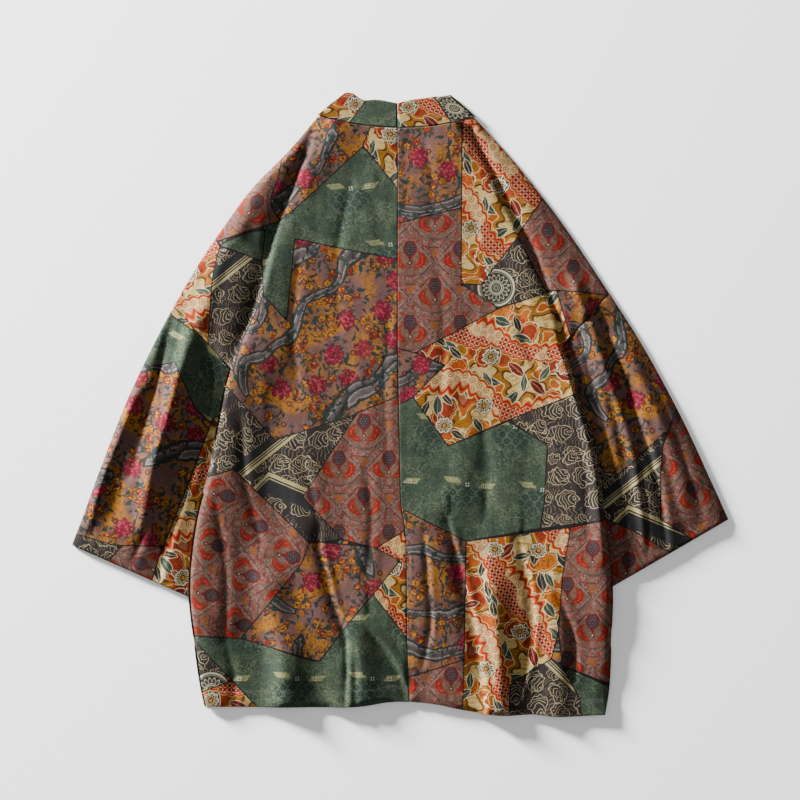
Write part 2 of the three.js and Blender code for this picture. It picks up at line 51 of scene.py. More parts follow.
# The printed patches of the upper side, from the first laid down to the last, each with its
# design, the turn of its print in degrees, and its corners as pixels of the photograph.
BODY_PATCHES = [
    ("floral", (278, 410), 10, [(150, 60), (420, 60), (420, 760), (150, 760)]),
    ("floral", (551, 410), -35, [(380, 60), (700, 60), (700, 760), (380, 760)]),
    ("pomegranate", (262, 196), -35, [(190, 250), (232, 237), (266, 226), (281, 222), (272, 208),
        (271, 199), (279, 176), (284, 150), (270, 120), (180, 200)]),
    ("pomegranate", (236, 497), -99, [(180, 452), (235, 469), (316, 541), (250, 646), (170, 646)]),
    ("green", (302, 659), 0, [(180, 634), (241, 638), (266, 645), (315, 661), (345, 627),
        (373, 594), (428, 650), (428, 740), (180, 740)]),
    ("charcoal_medallion", (212, 690), 20, [(180, 628), (194, 639), (256, 705), (262, 740),
        (170, 740)]),
    ("cream", (217, 708), 40, [(180, 690), (203, 691), (232, 680), (256, 705), (262, 740),
        (170, 740)]),
    ("charcoal_bands", (269, 474), 0, [(200, 380), (227, 386), (275, 440), (336, 421), (357, 414),
        (303, 497), (342, 539), (310, 543), (234, 469), (190, 482)]),
    ("pomegranate", (364, 487), 0, [(357, 413), (415, 389), (415, 525), (376, 548), (342, 539),
        (303, 497)]),
    ("cream", (394, 577), 15, [(376, 548), (415, 524), (420, 655), (373, 594), (400, 560)]),
    ("floral", (326, 597), 60, [(302, 563), (310, 541), (374, 547), (400, 560), (373, 594),
        (345, 627), (320, 661), (266, 645), (241, 638)]),
    ("green", (318, 236), 8, [(363, 147), (412, 204), (412, 262), (348, 250), (295, 239),
        (287, 321), (259, 290), (248, 232), (279, 222), (300, 205)]),
    ("cream", (386, 144), -20, [(378, 110), (415, 110), (412, 206), (363, 146)]),
    ("green", (248, 245), 0, [(219, 246), (248, 233), (266, 230), (262, 262), (246, 255)]),
    ("charcoal_stripe", (243, 284), 0, [(214, 238), (220, 247), (246, 255), (262, 262), (264, 295),
        (240, 346), (234, 372), (205, 338), (213, 277)]),
    ("cream", (199, 278), 70, [(214, 236), (220, 247), (213, 277), (208, 345), (160, 305),
        (180, 260)]),
    ("pomegranate", (435, 278), 0, [(385, 227), (415, 219), (462, 208), (462, 285), (500, 308),
        (415, 353), (385, 345)]),
    ("cream", (497, 196), 0, [(462, 100), (500, 90), (560, 180), (517, 238), (481, 285),
        (461, 286)]),
    ("charcoal_medallion", (496, 288), 0, [(461, 284), (481, 285), (517, 238), (556, 290),
        (500, 309)]),
    ("cream", (494, 366), 25, [(415, 353), (500, 308), (556, 290), (568, 330), (590, 388),
        (508, 420), (448, 446), (413, 397), (445, 365)]),
    ("pomegranate", (573, 260), 0, [(545, 195), (640, 250), (612, 296), (577, 292), (545, 290),
        (517, 236)]),
    ("green", (473, 466), -4, [(385, 413), (413, 397), (448, 446), (508, 421), (547, 445),
        (544, 501), (540, 528), (466, 541), (385, 500)]),
    ("charcoal_waves", (562, 466), 0, [(508, 420), (590, 388), (640, 515), (540, 528), (544, 501),
        (547, 445)]),
    ("cream", (517, 641), -10, [(466, 541), (570, 527), (562, 576), (558, 630), (551, 658),
        (510, 684), (507, 750), (461, 750), (464, 653)]),
    ("pomegranate", (592, 613), 0, [(570, 527), (640, 512), (640, 700), (609, 683), (562, 665),
        (558, 630), (562, 576)]),
    ("charcoal_stripe", (546, 683), -82, [(551, 658), (562, 665), (580, 700), (583, 750),
        (507, 750), (510, 684)]),
    ("green", (601, 713), 0, [(562, 665), (640, 700), (640, 750), (583, 750), (580, 700)]),
    ("pomegranate", (426, 703), 0, [(385, 683), (415, 675), (464, 659), (461, 750), (385, 750)]),
]


def from_photo(px, py):
    """A place in the photograph as metres in the frame."""
    return ((px - PHOTO_ORIGIN[0]) * PIXEL, (PHOTO_ORIGIN[1] - py) * PIXEL)


def ink(colour):
    """A printed colour, given as on a screen, in the shader's own scale."""
    shares = [value / 255 for value in colour]
    linear = [s / 12.92 if s <= 0.04045 else ((s + 0.055) / 1.055) ** 2.4 for s in shares]
    return (*linear, 1.0)


def print_node(kind, inputs, **settings):
    """A node of the print in hand, with numbers, colours or other nodes' results in its inputs."""
    node = Value.tree.nodes.new("ShaderNode" + kind)
    for name, setting in settings.items():
        setattr(node, name, setting)
    for key, item in inputs.items():
        item = item.socket if isinstance(item, Value) else item
        if isinstance(item, bpy.types.NodeSocket):
            Value.tree.links.new(item, node.inputs[key])
        else:
            node.inputs[key].default_value = item
    return node


class Value:
    """A number that a print's shader nodes work out at each point of the cloth, in millimetres."""
    tree = None

    def __init__(self, socket):
        self.socket = socket

    def math(self, operation, *others, clamp=False):
        inputs = dict(enumerate((self, *others)))
        return Value(print_node("Math", inputs, operation=operation, use_clamp=clamp).outputs[0])

    def __add__(self, other):
        return self.math("ADD", other)

    def __sub__(self, other):
        return self.math("SUBTRACT", other)

    def __mul__(self, other):
        return self.math("MULTIPLY", other)

    def __abs__(self):
        return self.math("ABSOLUTE")

    def least(self, other):
        return self.math("MINIMUM", other)

    def most(self, other):
        return self.math("MAXIMUM", other)

    def under(self, limit, soft=0.25):
        """1 where the number is under the limit and 0 over it, with a soft edge."""
        return self.math("MULTIPLY_ADD", -1.0 / soft, 0.5 + limit / soft, clamp=True)

    def over(self, limit, soft=0.25):
        """1 where the number is over the limit and 0 under it, with a soft edge."""
        return self.math("MULTIPLY_ADD", 1.0 / soft, 0.5 - limit / soft, clamp=True)

    def near(self, level, half, soft=0.25):
        """1 along the line where the number is close to a level."""
        return abs(self - level).under(half, soft)


def joined(x, y, z=0.0):
    """Three numbers as one vector."""
    return print_node("CombineXYZ", {0: x, 1: y, 2: z}).outputs[0]


def parts(vector):
    """A vector's three numbers."""
    return [Value(output) for output in print_node("SeparateXYZ", {0: vector}).outputs]


def noise_node(vector, size, seed, detail=1.0):
    """Soft random noise that changes over a size in millimetres."""
    inputs = {"Vector": vector, "Scale": 1.0 / size, "W": seed, "Detail": detail}
    return print_node("TexNoise", inputs, noise_dimensions="4D")


def cloudy(vector, size, seed, detail=1.0):
    """Soft random values from 0 to 1."""
    return Value(noise_node(vector, size, seed, detail).outputs["Fac"])


def turned(u, v, degrees):
    """The two numbers after the print is turned."""
    cosine, sine = math.cos(math.radians(degrees)), math.sin(math.radians(degrees))
    return u.math("MULTIPLY_ADD", cosine, v * sine), v.math("MULTIPLY_ADD", cosine, u * -sine)


def cells(u, v, width, height, stagger=0.0, seed=0.0):
    """The place inside a repeat of the print, from its middle, with three random numbers for it."""
    rows = v * (1.0 / height)
    row = rows.math("FLOOR")
    columns = u * (1.0 / width) + row * stagger
    column = columns.math("FLOOR")
    chance = print_node("TexWhiteNoise", {"Vector": joined(column, row, seed)}).outputs["Color"]
    return (columns - column - 0.5) * width, (rows - row - 0.5) * height, parts(chance)


def spun(x, y, chance):
    """The place turned by a random share of a full turn."""
    inputs = {"Vector": joined(x, y), "Angle": chance * (2 * math.pi)}
    return parts(print_node("VectorRotate", inputs, rotation_type="Z_AXIS").outputs[0])[:2]


def length_of(x, y):
    return (x * x + y * y).math("SQRT")


def blossom(x, y, radius, petals, notch):
    """How far a place is outside a flower with round petals, and how far it is from its heart."""
    reach = length_of(x, y)
    angle = y.math("ARCTAN2", x)
    wave = abs((angle * (petals / 2)).math("COSINE"))
    return reach - wave.math("MULTIPLY_ADD", radius * notch, radius * (1 - notch)), reach


def oval(x, y, half_width, half_height):
    """Under 1 inside an oval."""
    return length_of(x * (1 / half_width), y * (1 / half_height))


# Of every cotton: how far the dark border reaches from a patch's edge, how deep and strong the
# dyes are, the pitch of the weave and its height, and the seed of the ragged rims.
BORDER_INK = 0.75
DYE_DEPTH = 0.36
DYE_STRENGTH = 1.18
WEAVE_PITCH = 0.62
WEAVE_HEIGHT = 0.25 * MM
RAGGED_SEED = 51.0


class Cotton:
    """One printed cotton: it starts from a ground colour, and each print layer lies on the last."""

    def __init__(self, name, ground):
        self.material = bpy.data.materials.new(name)
        self.material.use_nodes = True
        Value.tree = self.material.node_tree
        Value.tree.nodes.clear()
        self.place = print_node("UVMap", {}, uv_map="print").outputs[0]
        self.u, self.v, _ = parts(self.place)
        self.colour = print_node("RGB", {}).outputs[0]
        self.colour.default_value = ink(ground)

    def ragged(self, amount, size):
        """The place in the print, shaken by an amount so that printed shapes have ragged rims."""
        shake = parts(noise_node(self.place, size, RAGGED_SEED).outputs["Color"])
        return self.u + (shake[0] - 0.5) * amount, self.v + (shake[1] - 0.5) * amount

    def lay(self, *layers):
        """Prints each layer's colour where its mask is 1, one over the other."""
        for mask, colour in layers:
            colour = ink(colour) if isinstance(colour, tuple) else colour
            inputs = {"Factor": mask, "A": self.colour, "B": colour}
            self.colour = print_node("Mix", inputs, data_type="RGBA").outputs["Result"]

    def choice(self, chance, *colours):
        """One of several colours, picked by a random number."""
        node = print_node("ValToRGB", {0: chance})
        node.color_ramp.interpolation = "CONSTANT"
        ramp = node.color_ramp.elements
        while len(ramp) < len(colours):
            ramp.new(0.5)
        for i, colour in enumerate(colours):
            ramp[i].position = i / len(colours)
            ramp[i].color = ink(colour)
        return node.outputs[0]

    def finish(self, fade, depth):
        """The printed border of the patch, the yarns, the weave and the cotton's soft sheen."""
        edge = Value(print_node("Attribute", {}, attribute_name="patch_edge").outputs["Fac"])
        wrong = Value(print_node("Attribute", {}, attribute_name="wrong_side").outputs["Fac"])
        self.lay((edge.under(BORDER_INK), (26, 20, 17)), (wrong * 0.45, (206, 196, 184)))
        yarns = cloudy(joined(self.u * 0.3, self.v), 1.1, 3.0)
        wash = cloudy(self.place, 45, 7.0, 2.0)
        tone = (yarns * 1.1 + wash * (fade * 2) + (0.45 - fade)) * (DYE_DEPTH * depth)
        shade = print_node("HueSaturation", {
            "Color": self.colour, "Value": tone, "Saturation": DYE_STRENGTH,
        })
        pitch = 2 * math.pi / WEAVE_PITCH
        threads = (self.u * pitch).math("SINE") * (self.v * pitch).math("SINE")
        slubs = cloudy(joined(self.u, self.v * 0.2), 1.3, 11.0)
        bump = print_node("Bump", {
            "Strength": 0.35, "Distance": WEAVE_HEIGHT, "Height": threads * 0.35 + slubs,
        })
        shader = print_node("BsdfPrincipled", {
            "Base Color": shade.outputs[0], "Normal": bump.outputs[0], "Roughness": 0.86,
            "Specular IOR Level": 0.1, "Sheen Weight": 0.025, "Sheen Roughness": 0.55,
        })
        print_node("OutputMaterial", {"Surface": shader.outputs[0]})
        return self.material


def floral_cotton():
    """Mauve ground with ochre glows, long flowing boughs, ragged blossom, dark sprigs and rings."""
    cotton = Cotton("floral_cotton", (132, 101, 98))
    u, v, place = cotton.u, cotton.v, cotton.place
    rough_u, rough_v = cotton.ragged(9.0, 4.6)
    cotton.lay((cloudy(place, 40, 1.0).over(0.52, 0.24), (112, 84, 78)))
    dust = cloudy(place, 1.9, 2.0)
    speck = cloudy(place, 3.2, 21.0)
    glow = cloudy(place, 34, 5.0, 1.5)
    cotton.lay(
        (glow.over(0.5, 0.18) * speck.over(0.4, 0.3) * 0.9, (156, 112, 74)),
        (glow.over(0.55, 0.14) * speck.over(0.45, 0.2) * 0.9, (194, 138, 82)),
        (glow.under(0.43, 0.1) * dust.over(0.58, 0.1), (98, 74, 66)),
    )

    drift = cloudy(place, 92, 9.0)
    ripple = cloudy(place, 34, 12.0)
    thick = cloudy(place, 40, 4.0) * 8
    ends = (cloudy(place, 64, 16.0) * -120 + 52).most(0.0)
    lean = turned(u, v, -50)[0] + drift * 92 + ripple * 12
    open_ground = None
    for spacing, shift, scale in ((57, 0.0, 0.95), (84, 47.0, 0.62)):
        side = (lean + shift).math("WRAP", spacing, -spacing) + (rough_u - u) * 0.35
        reach = abs(side) + thick * scale + ends
        cotton.lay(
            (reach.under(13.6 * scale, 0.6), (44, 50, 46)),
            (reach.under(10.2 * scale, 0.6), (104, 94, 92)),
            (reach.near(8.6 * scale, 0.6, 0.5), (148, 138, 132)),
            ((abs(side - 1.4 * scale) + thick * 0.8 + ends).under(5.6 * scale, 0.8), (80, 74, 72)),
        )
        outside = reach.over(13.0 * scale, 2.0)
        open_ground = outside if open_ground is None else open_ground * outside
    twig = (turned(rough_u, rough_v, 28)[0] + drift * 70 + ripple * 30).math("PINGPONG", 27)
    alive = cloudy(place, 34, 15.0).over(0.5, 0.04)
    cotton.lay((twig.under(1.4) * alive, (50, 58, 52)))

    grove = cloudy(place, 30, 33.0)
    for grid, seed, amount in ((15.0, 2.0, 0.62), (11.0, 3.0, 0.52), (8.5, 4.0, 0.46)):
        x, y, chance = cells(rough_u + seed * 3, rough_v, grid, grid - 1, 0.37, seed)
        x, y = spun(x, y, chance[0])
        leaf = abs(y) + x * x * (0.9 / grid)
        shown = grove.over(0.42, 0.04) * chance[1].under(amount, 0.01)
        cotton.lay(
            (leaf.under(0.16 * grid, 0.4) * shown,
             cotton.choice(chance[2], (44, 54, 50), (40, 62, 58), (62, 58, 46))),
        )

    x, y, chance = cells(rough_u, rough_v, 11.5, 11, 0.43, 8.0)
    x, y = spun(x, y, chance[0])
    small, reach = blossom(x, y, 5.0, 5, 0.3)
    near = grove.over(0.5, 0.05) * chance[2].under(0.46, 0.01) * open_ground
    cotton.lay((small.under(1.1) * near, (92, 52, 40)))
    warm = cotton.choice(chance[1], (190, 136, 84), (182, 120, 78), (152, 60, 60), (176, 128, 84),
        (162, 80, 66))
    cotton.lay(
        (small.under(-0.3) * near, warm),
        (dust.under(0.45, 0.1) * small.under(-0.2) * near, (128, 66, 44)),
        (speck.over(0.56, 0.1) * small.under(-0.8) * near, (206, 158, 92)),
        (reach.under(1.2) * near, (72, 44, 38)),
    )

    x, y, chance = cells(rough_u + 9.0, rough_v - 5.0, 41, 37, 0.31, 5.0)
    x, y = x + (chance[0] - 0.5) * 8, y + (chance[2] - 0.5) * 8
    large, reach = blossom(x, y, 13.0, 7, 0.34)
    shown = chance[1].under(0.4, 0.01) * open_ground.most(chance[2].under(0.3, 0.01))
    cotton.lay((large.under(0.8) * speck.under(0.6, 0.04) * shown, (96, 42, 50)))
    rose = cotton.choice(chance[2], (160, 44, 66), (140, 40, 50), (162, 56, 78))
    cotton.lay(
        (large.under(-0.6) * dust.under(0.57, 0.06) * shown, rose),
        (speck.over(0.54, 0.08) * large.under(-1.6) * shown, (182, 100, 108)),
        (dust.under(0.4, 0.08) * large.under(-0.6) * shown, (88, 40, 46)),
    )

    x, y, chance = cells(u - 4.0, v + 7.0, 23, 25, 0.5, 14.0)
    ring = abs(length_of(x, y) - 2.9 + (rough_u - u) * 0.2).under(0.75)
    cotton.lay(
        (ring * chance[0].under(0.36, 0.01), (78, 44, 42)),
        (length_of(x, y).under(1.1) * chance[0].under(0.36, 0.01), (160, 92, 58)),
    )
    return cotton.finish(0.13, 0.82)


def pomegranate_cotton():
    """A half-drop repeat of pomegranates in round pods: red flanks, a dark seed head, pearls."""
    cotton = Cotton("pomegranate_cotton", (130, 88, 78))
    place = cotton.place
    rough_u, rough_v = cotton.ragged(3.4, 3.4)
    mottle = cloudy(place, 2.6, 1.0)
    broad = cloudy(place, 6.0, 6.0)
    cotton.lay(
        (mottle.over(0.53, 0.1), (150, 118, 112)),
        (broad.over(0.57, 0.08) * mottle.over(0.42, 0.1), (126, 70, 66)),
        (broad.under(0.43, 0.06) * mottle.over(0.46, 0.1), (92, 94, 80)),
    )
    x, y, _ = cells(rough_u, rough_v, 64, 47, 0.5)
    side = abs(x)
    pod = oval(side, y + 2.0, 25.5, 20)
    ogee = side + abs(y + 2.0) * 0.95
    cotton.lay(
        (pod.under(0.92, 0.1) * mottle.under(0.56, 0.2) * 0.7, (120, 92, 74)),
        (ogee.near(31.5, 0.9, 0.6) * mottle.under(0.58, 0.1), (72, 62, 54)),
        (ogee.near(28.6, 0.7, 0.6) * 0.7, (158, 124, 116)),
        (pod.near(0.98, 0.03, 0.04) * (y + 12.0).under(0, 6), (76, 66, 56)),
    )
    body = oval(side, y + 0.5, 21.0, 12.5)
    core = oval(side, y - 2.8, 12.6, 12.4)
    cheek = body.under(1.0, 0.1) * core.over(0.98, 0.25) * side.over(5.0, 5.0)
    cotton.lay(
        (cheek, (130, 62, 54)),
        (cheek * body.under(0.93, 0.1) * mottle.over(0.44, 0.14), (166, 56, 56)),
        (cheek * body.near(0.8, 0.06, 0.1) * mottle.over(0.48, 0.1), (184, 98, 90)),
        (cheek * mottle.under(0.42, 0.08), (110, 62, 52)),
        (core.near(0.92, 0.05, 0.05) * side.over(6.0, 3.0) * 0.8, (100, 84, 62)),
    )
    neck = (side + y * -0.45 - 1.2).under(0.0, 1.0) * (y + 2.5).over(0.0, 1.0) * y.under(11)
    cotton.lay((neck, (104, 46, 50)))
    head = oval(x, y - 13.5, 8.0, 9.5)
    flame = oval(side, y - 22.5, 7.5, 5.5)
    cotton.lay(
        (flame.under(1.0, 0.3) * mottle.over(0.45, 0.1), (150, 82, 52)),
        (head.under(1.12, 0.15), (112, 50, 50)),
        (head.under(0.9, 0.2), (66, 48, 50)),
    )
    pearl_x, pearl_y, _ = cells(x, y, 3.4, 3.1, 0.5)
    cotton.lay(
        (length_of(pearl_x, pearl_y).under(0.8, 0.6) * head.under(0.78, 0.2) * 0.6,
         (122, 106, 104)),
    )
    pip = length_of(x, y + 4.5)
    cotton.lay(
        (pip.under(3.0, 0.6), (92, 56, 44)),
        (pip.under(1.3, 0.5), (190, 158, 138)),
    )
    far = side * -1 + 32.0
    cup = far + (y - 9.0) * -0.3
    cotton.lay(
        (cup.under(4.6, 0.8) * (y - 9.0).near(0, 5.0, 0.8) * mottle.over(0.44, 0.12),
         (154, 104, 72)),
        (far.under(7.4, 0.6) * (y - 15.2).near(0, 0.8, 0.5), (74, 66, 56)),
        (far.near(4.0, 0.6, 0.6) * (y + 6.0).near(0, 8.0, 1.0) * 0.8, (82, 72, 60)),
    )
    petal, _ = blossom(x, y + 16.5, 6.8, 6, 0.3)
    cotton.lay(
        (petal.near(0, 0.6, 0.5) * 0.9, (84, 72, 62)),
        (petal.under(-3.2, 1.0) * 0.8, (142, 96, 92)),
    )
    return cotton.finish(0.12, 0.88)


def green_cotton():
    """Dark green ground with tone-on-tone honeycomb dots, faint waves, and small pale clouds."""
    cotton = Cotton("green_cotton", (78, 90, 72))
    u, v, place = cotton.u, cotton.v, cotton.place
    grain = cloudy(place, 2.2, 1.0)
    cotton.lay(
        (grain.over(0.54, 0.12), (100, 110, 88)),
        (grain.under(0.44, 0.1), (62, 76, 62)),
        # Soft darker patches placed at random: painted shade, standing in for the soft shading of
        # the cloth's folds.
        (cloudy(place, 24, 3.0, 2.0).over(0.53, 0.22) * 0.8, (60, 74, 60)),
    )
    swell = cloudy(place, 13, 6.0)
    faint = (swell * 16).math("PINGPONG", 0.5).under(0.16, 0.12)
    cotton.lay((faint * cloudy(place, 34, 8.0).over(0.5, 0.08), (50, 64, 54)))
    x, y, _ = cells(u, v, 96, 78, 0.42, 4.0)
    dots = blossom(*cells(u, v, 11.6, 7.8, 0.5)[:2], 3.9, 6, 0.12)[0]
    field = oval(x, y, 27, 14)
    cotton.lay(
        (dots.under(0.1, 0.6) * field.under(1.0, 0.12), (42, 58, 52)),
        (dots.under(-2.3, 0.8) * field.under(1.0, 0.12), (66, 80, 66)),
    )
    spray = (cloudy(place, 3.6, 12.0).over(0.55, 0.06)
             * oval(x + 14.0, y + 22.0, 20, 10).under(1.0, 0.3))
    cotton.lay((spray, (48, 62, 54)))
    for shift_x, shift_y, tilt in ((17.0, -20.0, 0.9), (-27.0, -15.0, -0.7)):
        cloud_x, cloud_y = x + shift_x, y + shift_y
        bank = (abs(cloud_x + cloud_y * tilt) * 0.4).most(abs(cloud_y)) + (grain - 0.5) * 2.4
        steps = (cloud_x * 0.5 + cloud_y).math("PINGPONG", 1.3)
        cotton.lay(
            (bank.under(3.4, 0.5), (158, 158, 116)),
            (bank.under(3.0, 0.4) * steps.under(0.45), (108, 116, 86)),
        )
    for cross_x, cross_y in ((2.0, 15.0), (24.0, 14.0)):
        far_x, far_y = abs(abs(x - cross_x) - 1.5), abs(abs(y - cross_y) - 1.5)
        cotton.lay(
            (far_x.most(far_y).under(0.85, 0.4), (204, 208, 184)),
            (length_of(x - cross_x, y - cross_y).under(1.0, 0.5), (70, 82, 66)),
        )
    return cotton.finish(0.12, 0.95)


def cream_cotton():
    """Gold, orange and cream brocade design: long scalloped cloud banks with red rims, a ring
    lattice, gold drops, dark leaves and dark blossoms with white outlines."""
    cotton = Cotton("cream_cotton", (172, 116, 50))
    u, v, place = cotton.u, cotton.v, cotton.place
    rough_u, rough_v = cotton.ragged(3.0, 5.0)
    region = cloudy(place, 33, 2.0, 1.0)
    hatch = (u * 0.8 + v * 0.6).math("PINGPONG", 1.5).under(0.45, 0.4)
    cotton.lay(
        (hatch * cloudy(place, 17, 14.0).over(0.52, 0.03), (116, 76, 36)),
        (region.over(0.53, 0.015), (188, 92, 38)),
        (region.over(0.6, 0.015), (146, 44, 32)),
        (region.under(0.44, 0.015), (220, 194, 138)),
        (region.near(0.445, 0.016, 0.008), (84, 52, 28)),
        (region.near(0.53, 0.010, 0.008), (226, 200, 152)),
    )
    streaks = cloudy(joined(u * 0.35, v), 2.6, 17.0)
    cotton.lay((streaks.over(0.57, 0.1) * 0.6, (142, 88, 38)))

    x, y, chance = cells(rough_u + 20.0, rough_v + 4.0, 52, 44, 0.41, 6.0)
    x, y = turned(x + (chance[0] - 0.5) * 8, y + (chance[1] - 0.5) * 6, 24)
    drop = length_of(x * 0.62, y) + x * 0.12 + abs((x * 0.42).math("SINE")) * -1.2 - 11.5
    shown = chance[2].under(0.62, 0.01)
    cotton.lay(
        (drop.under(1.4) * shown, (228, 206, 164)),
        (drop.under(0.2) * shown, (152, 56, 40)),
        (drop.under(-1.2) * shown, (222, 178, 122)),
    )
    heart = cotton.choice(chance[0], (182, 104, 40), (192, 86, 34), (158, 108, 44), (150, 50, 34))
    cotton.lay(
        (drop.under(-2.2) * shown, heart),
        (drop.under(-3.0) * cloudy(place, 3.4, 28.0).over(0.56, 0.06) * shown, (138, 76, 38)),
    )

    for grid, seed, amount, broad in ((37.0, 9.0, 0.66, 5.6), (29.0, 12.0, 0.5, 4.0)):
        x, y, chance = cells(rough_u + seed, rough_v, grid, grid - 5, 0.39, seed)
        x, y = spun(x, y, chance[0] * 0.35 + 0.1)
        leaf = abs(y) + x * x * 0.032 - broad
        shown = chance[1].under(amount, 0.01)
        cotton.lay(
            (leaf.under(1.0) * shown, (226, 212, 178)),
            (leaf.under(0.0) * shown,
             cotton.choice(chance[2], (46, 60, 52), (38, 36, 36), (58, 72, 62), (112, 42, 40))),
            (abs(y).under(0.5) * leaf.under(-1.0) * shown, (150, 134, 100)),
        )

    flow = cloudy(place, 74, 21.0)
    along, across = turned(u, v, -42)
    across = across + flow * 88 + cloudy(place, 24, 22.0) * 5
    edge = across.math("WRAP", 43, -43)
    beads = abs((along * (math.pi / 12)).math("SINE"))
    thickness = cloudy(place, 60, 23.0) * 20 + 1.0
    bank = abs(edge) - thickness - beads * 3.8
    cotton.lay(
        (bank.under(2.3), (226, 200, 150)),
        (bank.under(1.2), (204, 104, 60)),
        (bank.under(-0.2), (156, 40, 30)),
        (bank.under(-2.4), (208, 134, 100)),
    )
    inside = bank.under(-3.6)
    cotton.lay((inside, (222, 194, 146)))
    pitch, radius = 5.6, 3.96
    ring_x, ring_y, _ = cells(*turned(u, v, 45), pitch, pitch)
    petals = length_of(abs(ring_x) - pitch, ring_y).least(length_of(ring_x, abs(ring_y) - pitch))
    lattice = inside * cloudy(place, 46, 19.0).over(0.49, 0.01)
    cotton.lay(
        (lattice, (152, 46, 36)),
        (petals.under(radius - 0.4, 0.4) * lattice, (222, 186, 152)),
    )
    x, y, chance = cells(u, v, 11.0, 9.5, 0.5, 31.0)
    bud, reach = blossom(x, y, 3.6, 5, 0.34)
    plain = inside * cloudy(place, 46, 19.0).under(0.48, 0.01)
    cotton.lay(
        (bud.near(0, 0.5, 0.4) * plain, (182, 76, 70)),
        (reach.under(0.9) * plain, (88, 56, 46)),
    )

    x, y, chance = cells(rough_u + 31.0, rough_v + 17.0, 61, 53, 0.43, 44.0)
    x, y = x + (chance[0] - 0.5) * 14, (y + (chance[1] - 0.5) * 12) * 1.2
    bloom, reach = blossom(x, y, 11.5, 8, 0.22)
    shown = chance[2].under(0.66, 0.01)
    cotton.lay(
        (bloom.under(1.4) * shown, (34, 30, 28)),
        (bloom.under(0.4) * shown, (226, 214, 188)),
        (bloom.under(-1.4) * shown,
         cotton.choice(chance[0], (48, 54, 48), (38, 36, 38), (150, 56, 42))),
    )
    rays = (y.math("ARCTAN2", x) * 16).math("SINE").over(0.2, 0.5)
    cotton.lay(
        (rays * bloom.under(-1.8) * reach.over(3.8) * shown, (214, 190, 146)),
        (reach.under(2.4) * shown, (190, 130, 64)),
    )
    return cotton.finish(0.09, 0.9)


def charcoal_cotton(name, mark):
    """Charcoal ground with fine wavy strands and curled clouds, and a rosette, chevron or
    stripe."""
    cotton = Cotton(name, (50, 44, 41))
    u, v, place = cotton.u, cotton.v, cotton.place
    rough_u, rough_v = cotton.ragged(14.0, 15.0)
    cotton.lay((cloudy(place, 26, 2.0).over(0.53, 0.1), (42, 42, 43)))
    broken = cloudy(place, 5.0, 5.0).over(0.42, 0.08) * cloudy(place, 28, 11.0).over(0.42, 0.05)
    strands = cloudy(joined(u * 0.3, v), 7.0, 1.0) * 12 + cloudy(place, 50, 7.0) * 60
    wave = (u + strands).math("PINGPONG", 2.3)
    cotton.lay((wave.under(0.46, 0.4) * broken * 0.85, (146, 124, 102)))
    for seed, share, width in ((3.0, 0.62, 13.5), (23.0, 0.42, 9.5)):
        x, y, chance = cells(rough_u + seed, rough_v, width * 2.4, width * 2.1, 0.41, seed)
        x, y = turned(x, y * 1.2, 20 * seed)
        scallop, reach = blossom(x, y, width, 7, 0.2)
        shown = chance[1].under(share, 0.01)
        pale = (190, 174, 144)
        cotton.lay(
            (scallop.under(0.6) * shown, (46, 42, 39)),
            (scallop.near(0.2, 0.5, 0.3) * shown, pale),
        )
        arcs = (length_of(x - width * 0.4, y + width * 0.45) + y * 0.3).math("PINGPONG", 2.3)
        cotton.lay((arcs.under(0.42, 0.3) * scallop.under(-2.0) * shown, pale))
    if mark == "medallion":
        reach = length_of(u, v)
        spokes = abs((v.math("ARCTAN2", u) * 8).math("SINE"))
        cotton.lay(
            (reach.under(24.5), (46, 42, 40)),
            (reach.near(22.5, 1.2), (206, 200, 172)),
            (reach.near(19.6, 0.5), (150, 144, 122)),
        )
        petals = reach - (spokes * 5.5 + 12.0)
        cotton.lay(
            (petals.under(0.0) * reach.over(8.5), (186, 180, 154)),
            (petals.under(-1.8) * reach.over(9.6) * spokes.over(0.3), (62, 58, 52)),
            (reach.near(7.0, 0.8), (196, 190, 164)),
            ((reach * 1.6).math("PINGPONG", 1.6).under(0.7) * reach.under(5.2), (176, 170, 144)),
        )
    if mark in ("bands", "stripe"):
        straight = v - u * 0.8 - 24.0
        cotton.lay((straight.over(0.0) * straight.under(22.0), (44, 43, 43)))
        for level, half in ((0.0, 2.2), (5.0, 0.8), (8.6, 0.6)):
            cotton.lay((straight.near(level, half, 0.3), (196, 184, 142)))
    if mark == "bands":
        chevron = v + u.most(0.0) * 0.42 - u.least(0.0)
        cotton.lay((chevron.over(-24.0) * chevron.under(0.0), (44, 43, 43)))
        for level, half in ((0.0, 2.6), (-5.4, 0.7)):
            cotton.lay((chevron.near(level, half, 0.3), (196, 184, 142)))
    return cotton.finish(0.1, 0.9)


COTTONS = {
    "floral": floral_cotton(),
    "pomegranate": pomegranate_cotton(),
    "green": green_cotton(),
    "cream": cream_cotton(),
    "charcoal_waves": charcoal_cotton("charcoal_waves_cotton", None),
    "charcoal_medallion": charcoal_cotton("charcoal_medallion_cotton", "medallion"),
    "charcoal_bands": charcoal_cotton("charcoal_bands_cotton", "bands"),
    "charcoal_stripe": charcoal_cotton("charcoal_stripe_cotton", "stripe"),
}


def solid_mesh(node):
    """The points and faces of a panel's solid, with its shared points joined, and the normals."""
    work = bmesh.new()
    work.from_mesh(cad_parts[node].data)
    bmesh.ops.remove_doubles(work, verts=work.verts, dist=0.00001)
    points = [vert.co.copy() for vert in work.verts]
    faces = [[vert.index for vert in face.verts] for face in work.faces]
    normals = [face.normal.copy() for face in work.faces]
    work.free()
    return points, faces, normals


